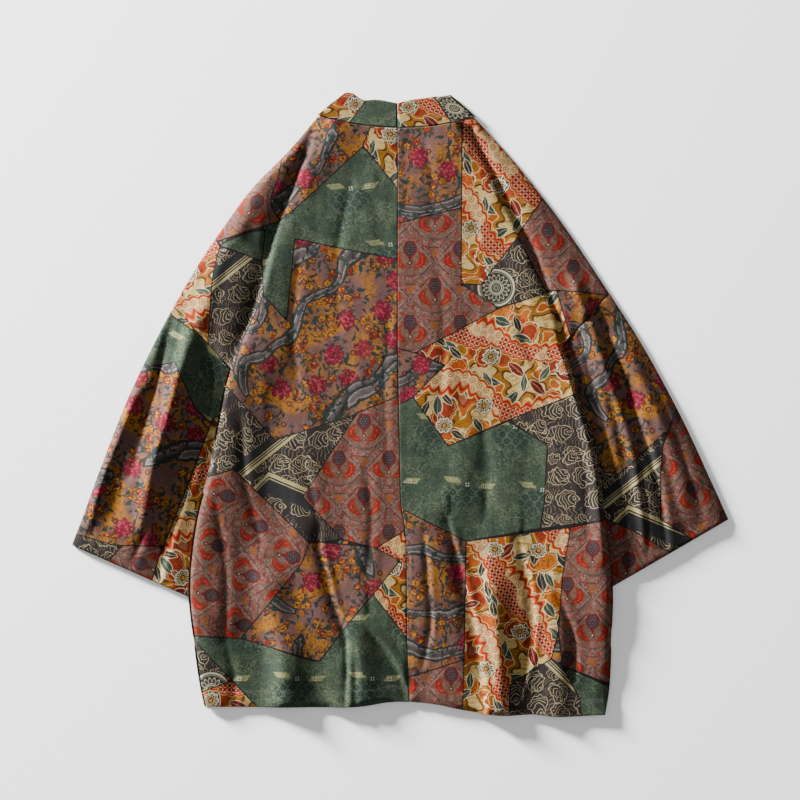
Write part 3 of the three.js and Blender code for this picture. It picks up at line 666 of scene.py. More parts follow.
def heights_of(surface, places, from_below=False):
    """The height of a surface at places seen from above or below, with nan where it isn't."""
    tree = BVHTree.FromPolygons(*surface)
    start, way = (-1.0, Vector((0, 0, 1))) if from_below else (1.0, Vector((0, 0, -1)))
    hits = [tree.ray_cast(Vector((x, y, start)), way)[0] for x, y in places]
    return np.array([np.nan if hit is None else hit.z for hit in hits])


# A panel's net: the turn that makes a corner of its edge, the steps of the points along the edge
# and inside it, the rings just inside the edge, and how far the printed borders reach past it.
CORNER_TURN = math.radians(24)
EDGE_STEP = 3.0 * MM
EDGE_INSETS = (0.35 * MM, 0.9 * MM, 1.7 * MM)
PANEL_STEP = 3.2 * MM
BORDER_MARGIN = 10 * MM
BORDER_REACH = 6.0
# The grid that smooths a solid's height, and how far from the edge it takes over.
RELIEF_PITCH = 3 * MM
RELIEF_SOFTNESS = 2.0
RELIEF_EDGE = 9 * MM


def outline_runs(node, floor_side=False):
    """The panel's edge seen from above, as runs of points between its corners."""
    points, faces, normals = solid_mesh(node)
    if floor_side:
        chosen = [f for f, n in zip(faces, normals)
                  if n.z < -0.9 and max(points[i].z for i in f) < 0.1 * MM]
    else:
        chosen = [f for f, n in zip(faces, normals) if n.z > 0.2]
    sides = {side for face in chosen for side in zip(face, face[1:] + face[:1])}
    ways = {start: end for start, end in sides if (end, start) not in sides}
    first = here = max(ways, key=lambda i: points[i].y * 2 - abs(points[i].x))
    loop = []
    while not loop or here != first:
        loop.append((points[here].x, points[here].y))
        here = ways[here]
    loop = np.array(loop[::-1] if floor_side else loop)
    before = loop - np.roll(loop, 1, axis=0)
    after = np.roll(loop, -1, axis=0) - loop
    cross = before[:, 0] * after[:, 1] - before[:, 1] * after[:, 0]
    turn = np.arctan2(cross, (before * after).sum(axis=1))
    corners = np.flatnonzero(abs(turn) > CORNER_TURN).tolist()
    ends = corners[1:] + [corners[0] + len(loop)]
    return [loop[np.arange(start, end + 1) % len(loop)] for start, end in zip(corners, ends)]


def distance_along(line):
    """How far each point of a line is from its start, along the line."""
    return np.concatenate([[0], np.cumsum(np.linalg.norm(np.diff(line, axis=0), axis=1))])


def smooth_run(run, step=EDGE_STEP):
    """A run of the edge as a smooth line with an even step."""
    padded = np.vstack([2 * run[0] - run[1], run, 2 * run[-1] - run[-2]])
    t = np.linspace(0, 1, 8, endpoint=False)[:, None]
    fine = [
        0.5 * (2 * b + (c - a) * t + (2 * a - 5 * b + 4 * c - d) * t ** 2
               + (3 * b - a - 3 * c + d) * t ** 3)
        for a, b, c, d in zip(padded, padded[1:], padded[2:], padded[3:])
    ]
    fine = np.vstack(fine + [run[-1]])
    lengths = distance_along(fine)
    at = np.linspace(0, lengths[-1], max(1, round(lengths[-1] / step)) + 1)
    return np.column_stack([np.interp(at, lengths, fine[:, k]) for k in (0, 1)])


def smooth_loop(node):
    """A panel's whole edge as one closed line."""
    return np.vstack([smooth_run(run)[:-1] for run in outline_runs(node)])


def inside_loop(points, loop):
    """Which points lie inside a closed loop."""
    x, y = points[:, 0], points[:, 1]
    inside = np.zeros(len(points), bool)
    for (ax, ay), (bx, by) in zip(loop, np.roll(loop, -1, axis=0)):
        reach = ax + (y - ay) * (bx - ax) / (by - ay if by != ay else 1e-12)
        inside ^= ((ay > y) != (by > y)) & (x < reach)
    return inside


def nearest(points, starts, ends):
    """The nearest of many straight lines: how far it is, which it is, and the share along it."""
    best = np.full(len(points), 1.0)
    which, shares = np.zeros(len(points), int), np.zeros(len(points))
    for i, (a, b) in enumerate(zip(starts, ends)):
        way = b - a
        share = np.clip(((points - a) @ way) / max(way @ way, 1e-12), 0, 1)
        far = np.linalg.norm(points - a - share[:, None] * way, axis=1)
        closer = far < best
        best[closer], which[closer], shares[closer] = far[closer], i, share[closer]
    return best, which, shares


def loop_distance(points, loop, chosen=None):
    """How far points are from a closed loop, or from the chosen stretches of it."""
    chosen = np.full(len(loop), True) if chosen is None else chosen
    return nearest(points, loop[chosen], np.roll(loop, -1, axis=0)[chosen])[0]


def relief(node, points, edge_distance):
    """The height of a solid's upper face, smoothed inside the panel so that no facets show."""
    solid = solid_mesh(node)[:2]
    flat = np.array([point[:2] for point in solid[0]])
    low = flat.min(axis=0) - 4 * RELIEF_PITCH
    size = np.ceil((flat.max(axis=0) + 4 * RELIEF_PITCH - low) / RELIEF_PITCH).astype(int) + 1
    xs, ys = [low[k] + np.arange(size[k]) * RELIEF_PITCH for k in (0, 1)]
    grid = heights_of(solid, [(x, y) for x in xs for y in ys]).reshape(size)
    known = ~np.isnan(grid)
    bell = np.exp(-0.5 * (np.arange(-6, 7) / RELIEF_SOFTNESS) ** 2)
    total, weight = np.where(known, grid, 0.0), known.astype(float)
    for axis in (0, 1):
        total, weight = [np.apply_along_axis(np.convolve, axis, field, bell, "same")
                         for field in (total, weight)]
    even = total / np.maximum(weight, 1e-9)
    spot = (points - low) / RELIEF_PITCH
    corner = np.clip(np.floor(spot).astype(int), 0, size - 2)
    (i, j), (s, t) = corner.T, (spot - corner).T
    soft = (even[i, j] * (1 - s) * (1 - t) + even[i + 1, j] * s * (1 - t)
            + even[i, j + 1] * (1 - s) * t + even[i + 1, j + 1] * s * t)
    raw = heights_of(solid, points)
    raw = np.where(np.isnan(raw), soft, raw)
    share = np.clip(edge_distance / RELIEF_EDGE, 0, 1)
    share = share * share * (3 - 2 * share)
    return raw * (1 - share) + soft * share


def flat_net(runs, patches, step):
    """A fine flat net over a panel: its points, triangles, edge loop and each triangle's patch."""
    edge = [smooth_run(run) for run in runs]
    loop = np.vstack([run[:-1] for run in edge])
    marks = np.concatenate([np.full(len(run) - 1, i) for i, run in enumerate(edge)])
    ahead = np.roll(loop, -1, axis=0) - np.roll(loop, 1, axis=0)
    inward = np.column_stack([-ahead[:, 1], ahead[:, 0]])
    inward /= np.linalg.norm(inward, axis=1)[:, None]
    rings = [loop]
    for inset in EDGE_INSETS:
        ring = loop + inward * inset
        rings.append(ring[(loop_distance(ring, loop) > inset * 0.9) & inside_loop(ring, loop)])
    low, high = loop.min(axis=0), loop.max(axis=0)
    xs = np.arange(low[0], high[0], step)
    ys = np.arange(low[1], high[1], step * math.sqrt(3) / 2)
    grid = np.array([(x + (step / 2 if j % 2 else 0), y) for j, y in enumerate(ys) for x in xs])
    grid = grid[inside_loop(grid, loop)]
    grid = grid[loop_distance(grid, loop) > EDGE_INSETS[-1] + 0.4 * step]

    borders, border_edges = [], []
    for *_, corners in patches:
        corners = np.array(corners)
        for a, b in zip(corners, np.roll(corners, -1, axis=0)):
            count = max(1, int(np.linalg.norm(b - a) / EDGE_STEP))
            along = [a + (b - a) * k / count for k in range(count + 1)]
            kept = [k for k, p in enumerate(along)
                    if (p > low - BORDER_MARGIN).all() and (p < high + BORDER_MARGIN).all()]
            base = {k: len(borders) + n for n, k in enumerate(kept)}
            borders += [along[k] for k in kept]
            border_edges += [(base[k], base[k + 1]) for k in kept if k + 1 in base]
    tree = KDTree(len(borders))
    for i, (x, y) in enumerate(borders):
        tree.insert((x, y, 0), i)
    tree.balance()
    grid = grid[np.array([tree.find((x, y, 0))[2] for x, y in grid]) > 0.62 * step]

    points = np.vstack([*rings, grid, borders])
    offset = len(points) - len(borders)
    edges = [(i, (i + 1) % len(loop)) for i in range(len(loop))]
    edges += [(offset + a, offset + b) for a, b in border_edges]
    found = geometry.delaunay_2d_cdt([Vector(p / MM) for p in points], edges, [], 0, 0.02)
    verts = np.array([p[:2] for p in found[0]]) * MM
    faces = np.array([f for f in found[2] if len(f) == 3])
    faces = faces[inside_loop(verts[faces].mean(axis=1), loop)]
    middles = verts[faces].mean(axis=1)
    patch = np.zeros(len(faces), int)
    for i, (*_, corners) in enumerate(patches):
        patch[inside_loop(middles, np.array(corners))] = i
    used = np.unique(faces)
    renumber = np.full(len(verts), -1)
    renumber[used] = np.arange(len(used))
    return verts[used], renumber[faces], loop, marks, patch


def sides_of(faces):
    """Each side of the triangles, as it runs round its triangle, with that triangle."""
    return {side: f for f, (a, b, c) in enumerate(faces) for side in ((a, b), (b, c), (c, a))}


def rim_edges(faces):
    """The sides that only one triangle has, each with that triangle."""
    sides = sides_of(faces)
    return [(p, q, f) for (p, q), f in sides.items() if (q, p) not in sides]


def border_distance(verts, faces, patch):
    """Each point's distance in millimetres from the nearest printed border."""
    sides = sides_of(faces)
    borders = [side for side, f in sides.items() if patch[sides.get(side[::-1], f)] != patch[f]]
    far = np.full(len(verts), BORDER_REACH)
    far[[p for side in borders for p in side]] = 0
    for p, q in borders:
        way = verts[q] - verts[p]
        for r in set(faces[sides[(p, q)]]) - {p, q}:
            away = verts[r] - verts[p]
            gap = abs(way[0] * away[1] - way[1] * away[0]) / max(np.linalg.norm(way), 1e-9)
            far[r] = min(far[r], gap / MM)
    return far


def cloth_object(name, points, faces, patch, patches, flat, far, wrong):
    """A closed cloth mesh with its patches' cottons, print coordinates and border distances."""
    mesh = bpy.data.meshes.new(name)
    mesh.from_pydata([tuple(p) for p in points], [], [tuple(int(i) for i in f) for f in faces])
    for material in COTTONS.values():
        mesh.materials.append(material)
    order = list(COTTONS)
    mesh.polygons.foreach_set("material_index", [order.index(patches[p][0]) for p in patch])
    mesh.polygons.foreach_set("use_smooth", [True] * len(mesh.polygons))
    loops = np.zeros(len(mesh.loops), int)
    mesh.loops.foreach_get("vertex_index", loops)
    owners = np.repeat(patch, [len(face) for face in faces])
    turns = np.radians([row[2] for row in patches])[owners]
    x, y = ((flat[loops] - np.array([row[1] for row in patches])[owners]) / MM).T
    u, v = x * np.cos(turns) + y * np.sin(turns), y * np.cos(turns) - x * np.sin(turns)
    layer = mesh.uv_layers.new(name="print")
    layer.data.foreach_set("uv", np.column_stack([u, v]).ravel())
    for label, values in (("patch_edge", far), ("wrong_side", wrong)):
        mesh.attributes.new(label, "FLOAT", "POINT").data.foreach_set("value", values)
    mesh.validate()
    mesh.update()
    piece = bpy.data.objects.new(name, mesh)
    bpy.context.scene.collection.objects.link(piece)
    return piece


def in_metres(patches):
    """The patches with their places in metres."""
    return [(cotton, from_photo(*start), turn, [from_photo(*corner) for corner in corners])
            for cotton, start, turn, corners in patches]


# Folds of the laid cloth: places along the bottom of each fold as pixels of the photograph, its
# depth in millimetres (under zero is a ridge), and how far it spreads to its left and right.
BODY_FOLDS = [
    ([(318, 540), (333, 600), (346, 640), (346, 706)], 6.0, 14, 3.0),
    ([(424, 530), (428, 580), (431, 625), (424, 665)], 3.2, 9, 3.0),
    ([(448, 522), (465, 585), (477, 640), (485, 712)], 6.2, 17, 3.0),
    ([(521, 545), (532, 600), (531, 650), (517, 700)], 5.6, 15, 2.8),
    ([(556, 590), (573, 635), (574, 680)], 3.2, 11, 5.0),
    ([(226, 640), (232, 668), (236, 704)], 2.0, 12, 8.0),
    ([(366, 628), (392, 662), (408, 702)], 4.2, 20, 5.0),
    ([(488, 560), (498, 640), (502, 714)], -2.8, 8, 18),
    ([(262, 560), (276, 620), (284, 660), (286, 706)], -3.6, 16, 26),
    ([(352, 620), (361, 660), (362, 704)], -2.6, 7, 20),
    ([(320, 116), (311, 136), (307, 154), (297, 176), (287, 202), (280, 218), (274, 236),
        (266, 268), (255, 304), (238, 350), (230, 376)], 4.4, 14, 3.4),
    ([(470, 128), (484, 156), (498, 182), (513, 214), (527, 240), (541, 275), (556, 312),
        (570, 348)], 5.6, 5, 6.0),
    ([(553, 330), (563, 360), (575, 400), (587, 440), (597, 490), (603, 560)], -2.5, 8, 4.5),
    ([(288, 146), (268, 176), (250, 206), (236, 232), (224, 254), (211, 287), (199, 320),
        (188, 352)], -2.3, 11, 12.0),
    ([(225, 222), (200, 262), (178, 303)], 1.8, 7, 5.0),
    ([(600, 300), (606, 316), (612, 330)], 2.6, 6, 5.0),
    ([(572, 280), (582, 306), (592, 330)], -2.4, 7, 8.0),
    ([(481, 420), (488, 470), (485, 520)], 1.5, 10, 9.0),
    ([(300, 262), (293, 330), (300, 400)], 1.6, 13, 8.0),
    ([(352, 180), (338, 250), (340, 330)], 1.3, 14, 9.0),
    ([(241, 410), (246, 480), (262, 545)], 2.0, 11, 7.0),
    ([(216, 500), (226, 570), (226, 640)], 2.0, 9, 6.0),
    ([(300, 450), (314, 500), (320, 545)], 2.0, 11, 6.0),
    ([(436, 250), (444, 330), (438, 420)], 1.3, 13, 9.0),
    ([(516, 300), (528, 350), (548, 400)], 1.8, 9, 9.0),
    ([(570, 400), (584, 460), (588, 540)], 2.2, 9, 7.0),
    ([(392, 290), (385, 380), (388, 470)], 1.2, 12, 8.0),
    ([(366, 470), (372, 520), (366, 580)], 1.6, 10, 7.0),
    ([(424, 140), (432, 180), (430, 230)], 1.0, 9, 7.0),
]

# The cloth's own small waves: height in millimetres, width, length, and a seed of their own.
WAVES = [
    (0.8, 30 * MM, 85 * MM, 1.0),
    (0.42, 14 * MM, 36 * MM, 4.0),
    (0.16, 6.5 * MM, 12 * MM, 8.0),
]
FOLD_STRENGTH = 1.7
VALLEY_ROUND = 1.2 * MM
# Folds that end past this row of the photograph run over the hem, where they don't fade out.
HEM_ROW = 695


def fold_heights(points, rows, edge_distance):
    """What the folds and the cloth's own small waves add to the height of each point."""
    total = np.zeros(len(points))
    for places, depth, left, right in rows:
        line = smooth_run(np.array([from_photo(*place) for place in places]), 4 * MM)
        far, which, share = nearest(points, line[:-1], line[1:])
        away = points - line[which] - share[:, None] * (line[which + 1] - line[which])
        share = (which + share) / (len(line) - 1)
        spread = np.where(away[:, 0] < 0, left, right) * MM
        fade = np.clip(np.sin(np.pi * (0.09 + 0.82 * share)) * 1.5, 0, 1)
        if places[-1][1] > HEM_ROW:
            fade = np.where(share > 0.5, np.maximum(fade, 0.85), fade)
        if depth > 0:
            core = np.hypot(far, VALLEY_ROUND) - VALLEY_ROUND
            shape = 0.7 * np.exp(-(far / (2.4 * spread)) ** 2) - np.exp(-core / spread)
        else:
            shape = -np.exp(-(far / spread) ** 2)
        total += depth * FOLD_STRENGTH * MM * fade * shape
    waves = sum(
        height * np.array([noise.noise((x / width, y / length, seed)) for x, y in points])
        for height, width, length, seed in WAVES
    )
    return (total * np.clip(edge_distance / (5 * MM), 0.25, 1)
            + waves * MM * np.clip(edge_distance / (8 * MM), 0, 1))


# A turned hem: its depth, how far the doubled cloth rises and how deep the stitches pull it in.
HEM_DEPTH = 20 * MM
HEM_RISE = 0.5 * MM
HEM_DENT = 0.35 * MM


def hem_relief(edge_distance, depth):
    """How far the doubled cloth of a hem stands up, and how deep its stitches dent it."""
    doubled = HEM_RISE * np.clip((depth + 1 * MM - edge_distance) / (2 * MM), 0, 1)
    return doubled, HEM_DENT * np.exp(-((edge_distance - depth) / (1.1 * MM)) ** 2)


def hem_line(edge):
    """The line of stitches that holds a hem, as far from its edge as the hem is deep."""
    edge = edge[np.argsort(edge[:, 0])]
    level = np.convolve(np.pad(edge[:, 1], 6, "edge"), np.ones(13) / 13, "valid")
    return np.column_stack([edge[:, 0], level + HEM_DEPTH])


# The rounding of the edges and of the shoulder fold, the gaps to what lies below, and where on a
# panel the hem and the shoulder are.
EDGE_ROUND = 1.1 * MM
FOLD_ROUND = 2.6 * MM
FOLD_LOW = 0.25 * MM
LAYER_GAP = 0.2 * MM
FLOOR_GAP = 0.3 * MM
HEM_BELOW = -360 * MM
SHOULDER_BEYOND = 140 * MM
SHOULDER_ABOVE = 200 * MM


def rounded(gap, radius):
    """The share of its full height that a round edge has reached, at a gap from the edge."""
    return np.sqrt(1 - (1 - np.clip(gap / radius, 0, 1)) ** 2)


def make_panel(name, node, patches, step, rows=(), beneath=(), face_down=False):
    """A panel of cloth on its solid's form: a closed thin wall with rounded edges. It comes with
    the line of its hem's stitches."""
    runs = outline_runs(node)
    placed = in_metres(patches)
    verts, faces, loop, marks, patch = flat_net(runs, placed, step)
    middles = [run.mean(axis=0) for run in runs]
    hem = np.isin(marks, [i for i, (_, y) in enumerate(middles) if y < HEM_BELOW])
    far = loop_distance(verts, loop)
    top = relief(node, verts, far)
    if not face_down:
        doubled, dent = hem_relief(loop_distance(verts, loop, hem), HEM_DEPTH)
        top = top + fold_heights(verts, rows, far) + (doubled - dent)
        layers = [heights_of(solid_mesh(other)[:2], verts) for other in beneath]
        top = np.maximum(top, np.fmax.reduce([np.zeros(len(verts)), *layers]) + CLOTH + LAYER_GAP)
    bottom = top - CLOTH
    swell = 0.2 + 0.8 * rounded(far, EDGE_ROUND)
    middle, half = (top + bottom) / 2, (top - bottom) / 2 * swell
    upper, lower = middle + half, middle - half
    if face_down:
        lower = np.maximum(lower, FLOOR_GAP)
        upper = np.maximum(upper, lower + 0.1 * MM)
    else:
        shoulder = np.isin(marks, [i for i, (x, y) in enumerate(middles)
                                   if abs(x) > SHOULDER_BEYOND and y > SHOULDER_ABOVE])
        gap = loop_distance(verts, loop, shoulder)
        share = np.clip((FOLD_ROUND + 1 * MM - gap) / (1 * MM), 0, 1)
        curled = top + (FOLD_LOW + 0.2 * MM - top) * (1 - rounded(gap, FOLD_ROUND))
        inner = FOLD_LOW + (bottom - FOLD_LOW) * np.clip((gap - CLOTH) / (1.2 * MM), 0, 1)
        upper = upper * (1 - share) + curled * share
        lower = np.minimum(lower * (1 - share) + inner * share, upper - 0.1 * MM)
    count = len(verts)
    rim = rim_edges(faces)
    points = np.vstack([np.column_stack([verts, upper]), np.column_stack([verts, lower])])
    closed = [*faces, *(face[::-1] + count for face in faces)]
    closed += [(b, a, a + count, b + count) for a, b, _ in rim]
    shown = np.concatenate([patch, patch, patch[[face for *_, face in rim]]])
    border = np.tile(border_distance(verts, faces, patch), 2)
    wrong = np.repeat([1.0, 0.0] if face_down else [0.0, 1.0], count)
    piece = cloth_object(name, points, closed, shown, placed, np.tile(verts, (2, 1)), border, wrong)
    return piece, hem_line(loop[hem])


THREAD = bpy.data.materials.new("sewing_thread")
THREAD.use_nodes = True
THREAD.node_tree.nodes["Principled BSDF"].inputs["Base Color"].default_value = ink((52, 40, 36))
THREAD.node_tree.nodes["Principled BSDF"].inputs["Roughness"].default_value = 0.6
STITCH_LENGTH = 2.6 * MM
STITCH_PITCH = 3.6 * MM
THREAD_RADIUS = 0.2 * MM
# Along each stitch: the share of its length, and of the thread's full size.
STITCH_RINGS = [(0, 0.1), (0.12, 0.8), (0.5, 1.0), (0.88, 0.8), (1, 0.1)]


def stitches(name, line, cloth, from_below=False):
    """A row of machine stitches along a line on the cloth, each a small rounded rod."""
    lengths = distance_along(line)
    starts = np.arange(STITCH_PITCH, lengths[-1] - STITCH_PITCH, STITCH_PITCH)
    at = np.column_stack([starts, starts + STITCH_LENGTH]).ravel()
    ends = np.column_stack([np.interp(at, lengths, line[:, k]) for k in (0, 1)])
    mesh = cloth.data
    surface = [vert.co for vert in mesh.vertices], [face.vertices[:] for face in mesh.polygons]
    heights = np.nan_to_num(heights_of(surface, ends, from_below))
    ends = [Vector(end) for end in np.column_stack([ends, heights])]
    out = Vector((0, 0, -1 if from_below else 1))
    points, faces = [], []
    for a, b in zip(ends[::2], ends[1::2]):
        aside = (b - a).cross(out).normalized()
        base = len(points)
        for share, size in STITCH_RINGS:
            middle = a.lerp(b, share) + out * (THREAD_RADIUS * (1.1 * size - 0.75))
            for k in range(6):
                turn = math.pi * k / 3
                spoke = aside * math.cos(turn) + out * math.sin(turn)
                points.append(tuple(middle + spoke * THREAD_RADIUS * size))
        last = base + 6 * (len(STITCH_RINGS) - 1)
        for ring in range(base, last, 6):
            faces += [(ring + k, ring + (k + 1) % 6, ring + (k + 1) % 6 + 6, ring + k + 6)
                      for k in range(6)]
        faces += [[base + k for k in reversed(range(6))], [last + k for k in range(6)]]
    mesh = bpy.data.meshes.new(name)
    mesh.from_pydata(points, [], faces)
    mesh.polygons.foreach_set("use_smooth", [True] * len(mesh.polygons))
    mesh.materials.append(THREAD)
    sewn = bpy.data.objects.new(name, mesh)
    bpy.context.scene.collection.objects.link(sewn)
    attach(sewn, "root")
    return sewn


def on_side(patches, side):
    """The patches of one side's panel; they may reach past the middle, where the panel ends."""
    return [row for row in patches
            if (np.mean([px for px, _ in row[3]]) < PHOTO_ORIGIN[0]) == (side == "left")]


BACK_SHEETS = {
    "left": ((0.301, 0.757), 0.179, ["front_left", "sleeve_left"]),
    "right": ((0.275, 0.765), 0.175, ["front_right", "sleeve_right"]),
}
for side, (flat, area, under) in BACK_SHEETS.items():
    node = "back_" + side
    back, hem = make_panel(
        "back_cloth_" + side, node, on_side(BODY_PATCHES, side), PANEL_STEP, rows=BODY_FOLDS,
        beneath=("front_left", "front_right", "sleeve_left", "sleeve_right"),
    )
    sewn = stitches("back_hem_stitches_" + side, hem, back)
    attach(back, "root")
    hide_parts(node)


# Fronts
# Two panels of the same cloth on the underside, which run from the shoulder fold to the hem and
# leave the middle open. They lie face down on the surface, so nothing of them shows from above.
FRONT_STEP = 5 * MM
FRONT_SHIFT = (800, 34)
FRONT_TURN = 25
FRONT_PATCHES = [
    (cotton, start, turn + FRONT_TURN,
     [(FRONT_SHIFT[0] - px, py + FRONT_SHIFT[1]) for px, py in corners])
    for cotton, start, turn, corners in BODY_PATCHES
]
FRONT_SHEETS = {"left": ((0.239, 0.752), 0.138), "right": ((0.222, 0.759), 0.137)}
for side, (flat, area) in FRONT_SHEETS.items():
    node = "front_" + side
    front, hem = make_panel(
        "front_cloth_" + side, node, on_side(FRONT_PATCHES, side), FRONT_STEP, face_down=True
    )
    sewn = stitches("front_hem_stitches_" + side, hem, front, from_below=True)
    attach(front, "root")
    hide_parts(node)


# Sleeves
# One piece of the printed cotton each, folded along its upper edge and sewn into a wide flat
# tube; it is open at the cuff, and its other end lies under the side of the back.
CUFFS = {"left": [(72, 545), (189, 599)], "right": [(727.5, 518), (619, 580)]}
SLEEVE_FOLD_ROUND = 2.2 * MM
SLEEVE_LEAST = 2.6 * MM
LIP_ROUND = 0.9 * MM
CUFF_NEAR = 16 * MM
CUFF_DEPTH = 24 * MM
SLEEVE_PATCHES = [
    ("floral", (120, 420), -25, [(40, 150), (400, 60), (400, 640), (40, 640)]),
    ("floral", (640, 420), 35, [(402, 60), (760, 60), (760, 640), (402, 640)]),
    ("pomegranate", (236, 190), -32, [(340, 60), (400, 100), (400, 220), (281, 222), (218, 238),
        (150, 200)]),
    ("green", (170, 380), -30, [(160, 303), (215, 339), (236, 368), (240, 410), (213, 425),
        (196, 409), (176, 362), (150, 367), (120, 350)]),
    ("green", (210, 255), 10, [(205, 240), (222, 246), (260, 225), (280, 262), (246, 256)]),
    ("charcoal_stripe", (243, 284), 0, [(216, 236), (222, 247), (246, 255), (290, 262), (290, 400),
        (231, 371), (207, 338), (212, 277)]),
    ("cream", (196, 290), -60, [(150, 250), (212, 232), (221, 247), (213, 277), (207, 340),
        (150, 300)]),
    ("cream", (190, 500), 60, [(213, 419), (250, 400), (250, 640), (148, 620), (150, 581),
        (186, 490)]),
    ("pomegranate", (134, 560), 65, [(119, 545), (163, 546), (151, 584), (140, 610), (100, 580),
        (107, 560)]),
    ("charcoal_waves", (95, 545), -20, [(50, 500), (75, 533), (121, 547), (108, 562), (90, 590),
        (50, 570)]),
    ("cream", (520, 180), 10, [(462, 60), (560, 120), (560, 190), (543, 200), (517, 238),
        (480, 260)]),
    ("pomegranate", (572, 240), 35, [(545, 196), (600, 200), (650, 290), (606, 292), (577, 293),
        (560, 288), (545, 291), (517, 237)]),
    ("pomegranate", (690, 480), 15, [(676, 408), (760, 400), (760, 560), (692, 541), (660, 520),
        (660, 468), (662, 446)]),
    ("charcoal_bands", (628, 507), 0, [(590, 470), (618, 474), (652, 444), (663, 432), (660, 469),
        (660, 519), (693, 540), (671, 554), (632, 531), (590, 516)]),
    ("pomegranate", (630, 552), -12, [(590, 512), (632, 530), (672, 554), (690, 580), (600, 640)]),
]
SLEEVE_FOLDS = {
    "left": [
        ([(190, 335), (178, 380), (165, 428), (153, 472), (143, 530)], -5.0, 10, 13.0),
        ([(176, 306), (166, 345), (156, 385), (143, 430), (131, 475)], 3.0, 9, 5.0),
        ([(140, 385), (124, 425), (105, 475), (92, 525)], -2.4, 7, 7.0),
        ([(214, 372), (205, 420), (190, 480), (172, 530), (158, 582)], 4.6, 14, 4.0),
        ([(160, 500), (146, 530), (132, 566)], 1.8, 7, 4.0),
        ([(112, 470), (100, 505), (90, 540)], 2.0, 6, 5.0),
    ],
    "right": [
        ([(601, 314), (612, 350), (627, 390), (641, 430), (650, 458), (660, 498), (666, 548)], 4.4,
            9, 5.0),
        ([(574, 318), (584, 352), (593, 388), (604, 430), (614, 475), (622, 530)], 3.4, 6, 7.0),
        ([(590, 326), (606, 372), (622, 420), (634, 470), (644, 540)], -2.6, 6, 9.0),
        ([(622, 340), (643, 385), (666, 440), (688, 515)], -1.8, 8, 12.0),
        ([(600, 430), (612, 480), (620, 530), (624, 574)], 3.6, 4, 6.0),
        ([(660, 400), (680, 450), (704, 520)], 1.8, 8, 5.0),
        ([(640, 470), (646, 515), (648, 556)], 2.0, 6, 4.0),
    ],
}


def make_sleeve(name, node, side):
    """A flat tube of cloth on its solid's form: two layers with round folds and open ends."""
    runs = outline_runs(node, floor_side=True)
    placed = in_metres(SLEEVE_PATCHES)
    verts, faces, loop, marks, patch = flat_net(runs, placed, PANEL_STEP)
    cuff = np.array([from_photo(*place) for place in CUFFS[side]])
    is_cuff = [i for i, run in enumerate(runs)
               if nearest(run[[0, len(run) // 2, -1]], cuff[:1], cuff[1:])[0].max() < CUFF_NEAR]
    is_armhole = [i for i, run in enumerate(runs) if i not in is_cuff
                  and distance_along(run)[-1] > 0.25 and abs(run.mean(axis=0)[0]) < 0.262]
    at_cuff, at_open = np.isin(marks, is_cuff), np.isin(marks, is_cuff + is_armhole)
    ahead = np.roll(loop, -1, axis=0)
    fold_gap, fold_side, _ = nearest(verts, loop[~at_open], ahead[~at_open])
    open_gap = loop_distance(verts, loop, at_open)
    far = np.minimum(fold_gap, open_gap)
    cover = smooth_loop("back_" + side)
    clear = loop_distance(verts, cover) * ~inside_loop(verts, cover)
    folds = fold_heights(verts, SLEEVE_FOLDS[side], far)
    folds *= np.where(folds > 0, np.clip(clear / (9 * MM), 0, 1), 1)
    doubled, dent = hem_relief(loop_distance(verts, loop, at_cuff), CUFF_DEPTH)
    top = relief(node, verts, far) + folds
    top += doubled * np.clip(far / (3 * MM), 0, 1) - dent * np.clip(far / (6 * MM), 0, 1)
    middle = np.maximum(top, SLEEVE_LEAST) / 2
    swell = rounded(fold_gap, SLEEVE_FOLD_ROUND)
    trim = CLOTH / 2 * (0.7 - 0.7 * rounded(open_gap, LIP_ROUND))
    outer = np.maximum(middle * (0.04 + 0.96 * swell) - trim, 0.02 * MM)
    inner = (np.maximum(middle - CLOTH, 0.12 * MM) + trim) * (0.2 + 0.8 * swell)
    way = (ahead - loop)[~at_open][fold_side]
    inward = np.column_stack([-way[:, 1], way[:, 0]]) / np.linalg.norm(way, axis=1)[:, None]
    inner_verts = verts + inward * np.clip(CLOTH - fold_gap * 0.4, 0, CLOTH)[:, None]
    points = np.vstack([
        np.column_stack([verts, middle + outer]), np.column_stack([inner_verts, middle + inner]),
        np.column_stack([inner_verts, middle - inner]), np.column_stack([verts, middle - outer]),
    ])
    count = len(verts)
    upper, ceiling, base, lower = (k * count for k in range(4))
    closed = [face + skin for skin in (upper, base) for face in faces]
    closed += [face[::-1] + skin for skin in (ceiling, lower) for face in faces]
    shown = [patch] * 4
    rim = rim_edges(faces)
    halfway = np.array([(verts[a] + verts[b]) / 2 for a, b, _ in rim])
    opening = loop_distance(halfway, loop, at_open) < 0.01 * MM
    following = {a: (b, is_open) for (a, b, _), is_open in zip(rim, opening)}
    for (a, b, face), is_open in zip(rim, opening):
        pairs = ((upper, ceiling), (base, lower)) if is_open else ((upper, lower), (base, ceiling))
        closed += [(b + p, a + p, a + q, b + q) for p, q in pairs]
        shown.append([patch[face]] * 2)
        if following[b][1] != is_open:
            ring = [b + upper, b + ceiling, b + base, b + lower]
            closed.append(ring[::-1] if is_open else ring)
            shown.append([patch[face]])
    border = np.tile(border_distance(verts, faces, patch), 4)
    wrong = np.repeat([0.0, 1.0, 1.0, 0.0], count)
    shown = np.concatenate(shown)
    return cloth_object(name, points, closed, shown, placed, np.tile(verts, (4, 1)), border, wrong)


for side in ("left", "right"):
    node = "sleeve_" + side
    sleeve = make_sleeve("sleeve_cloth_" + side, node, side)
    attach(sleeve, "root")
    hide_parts(node)


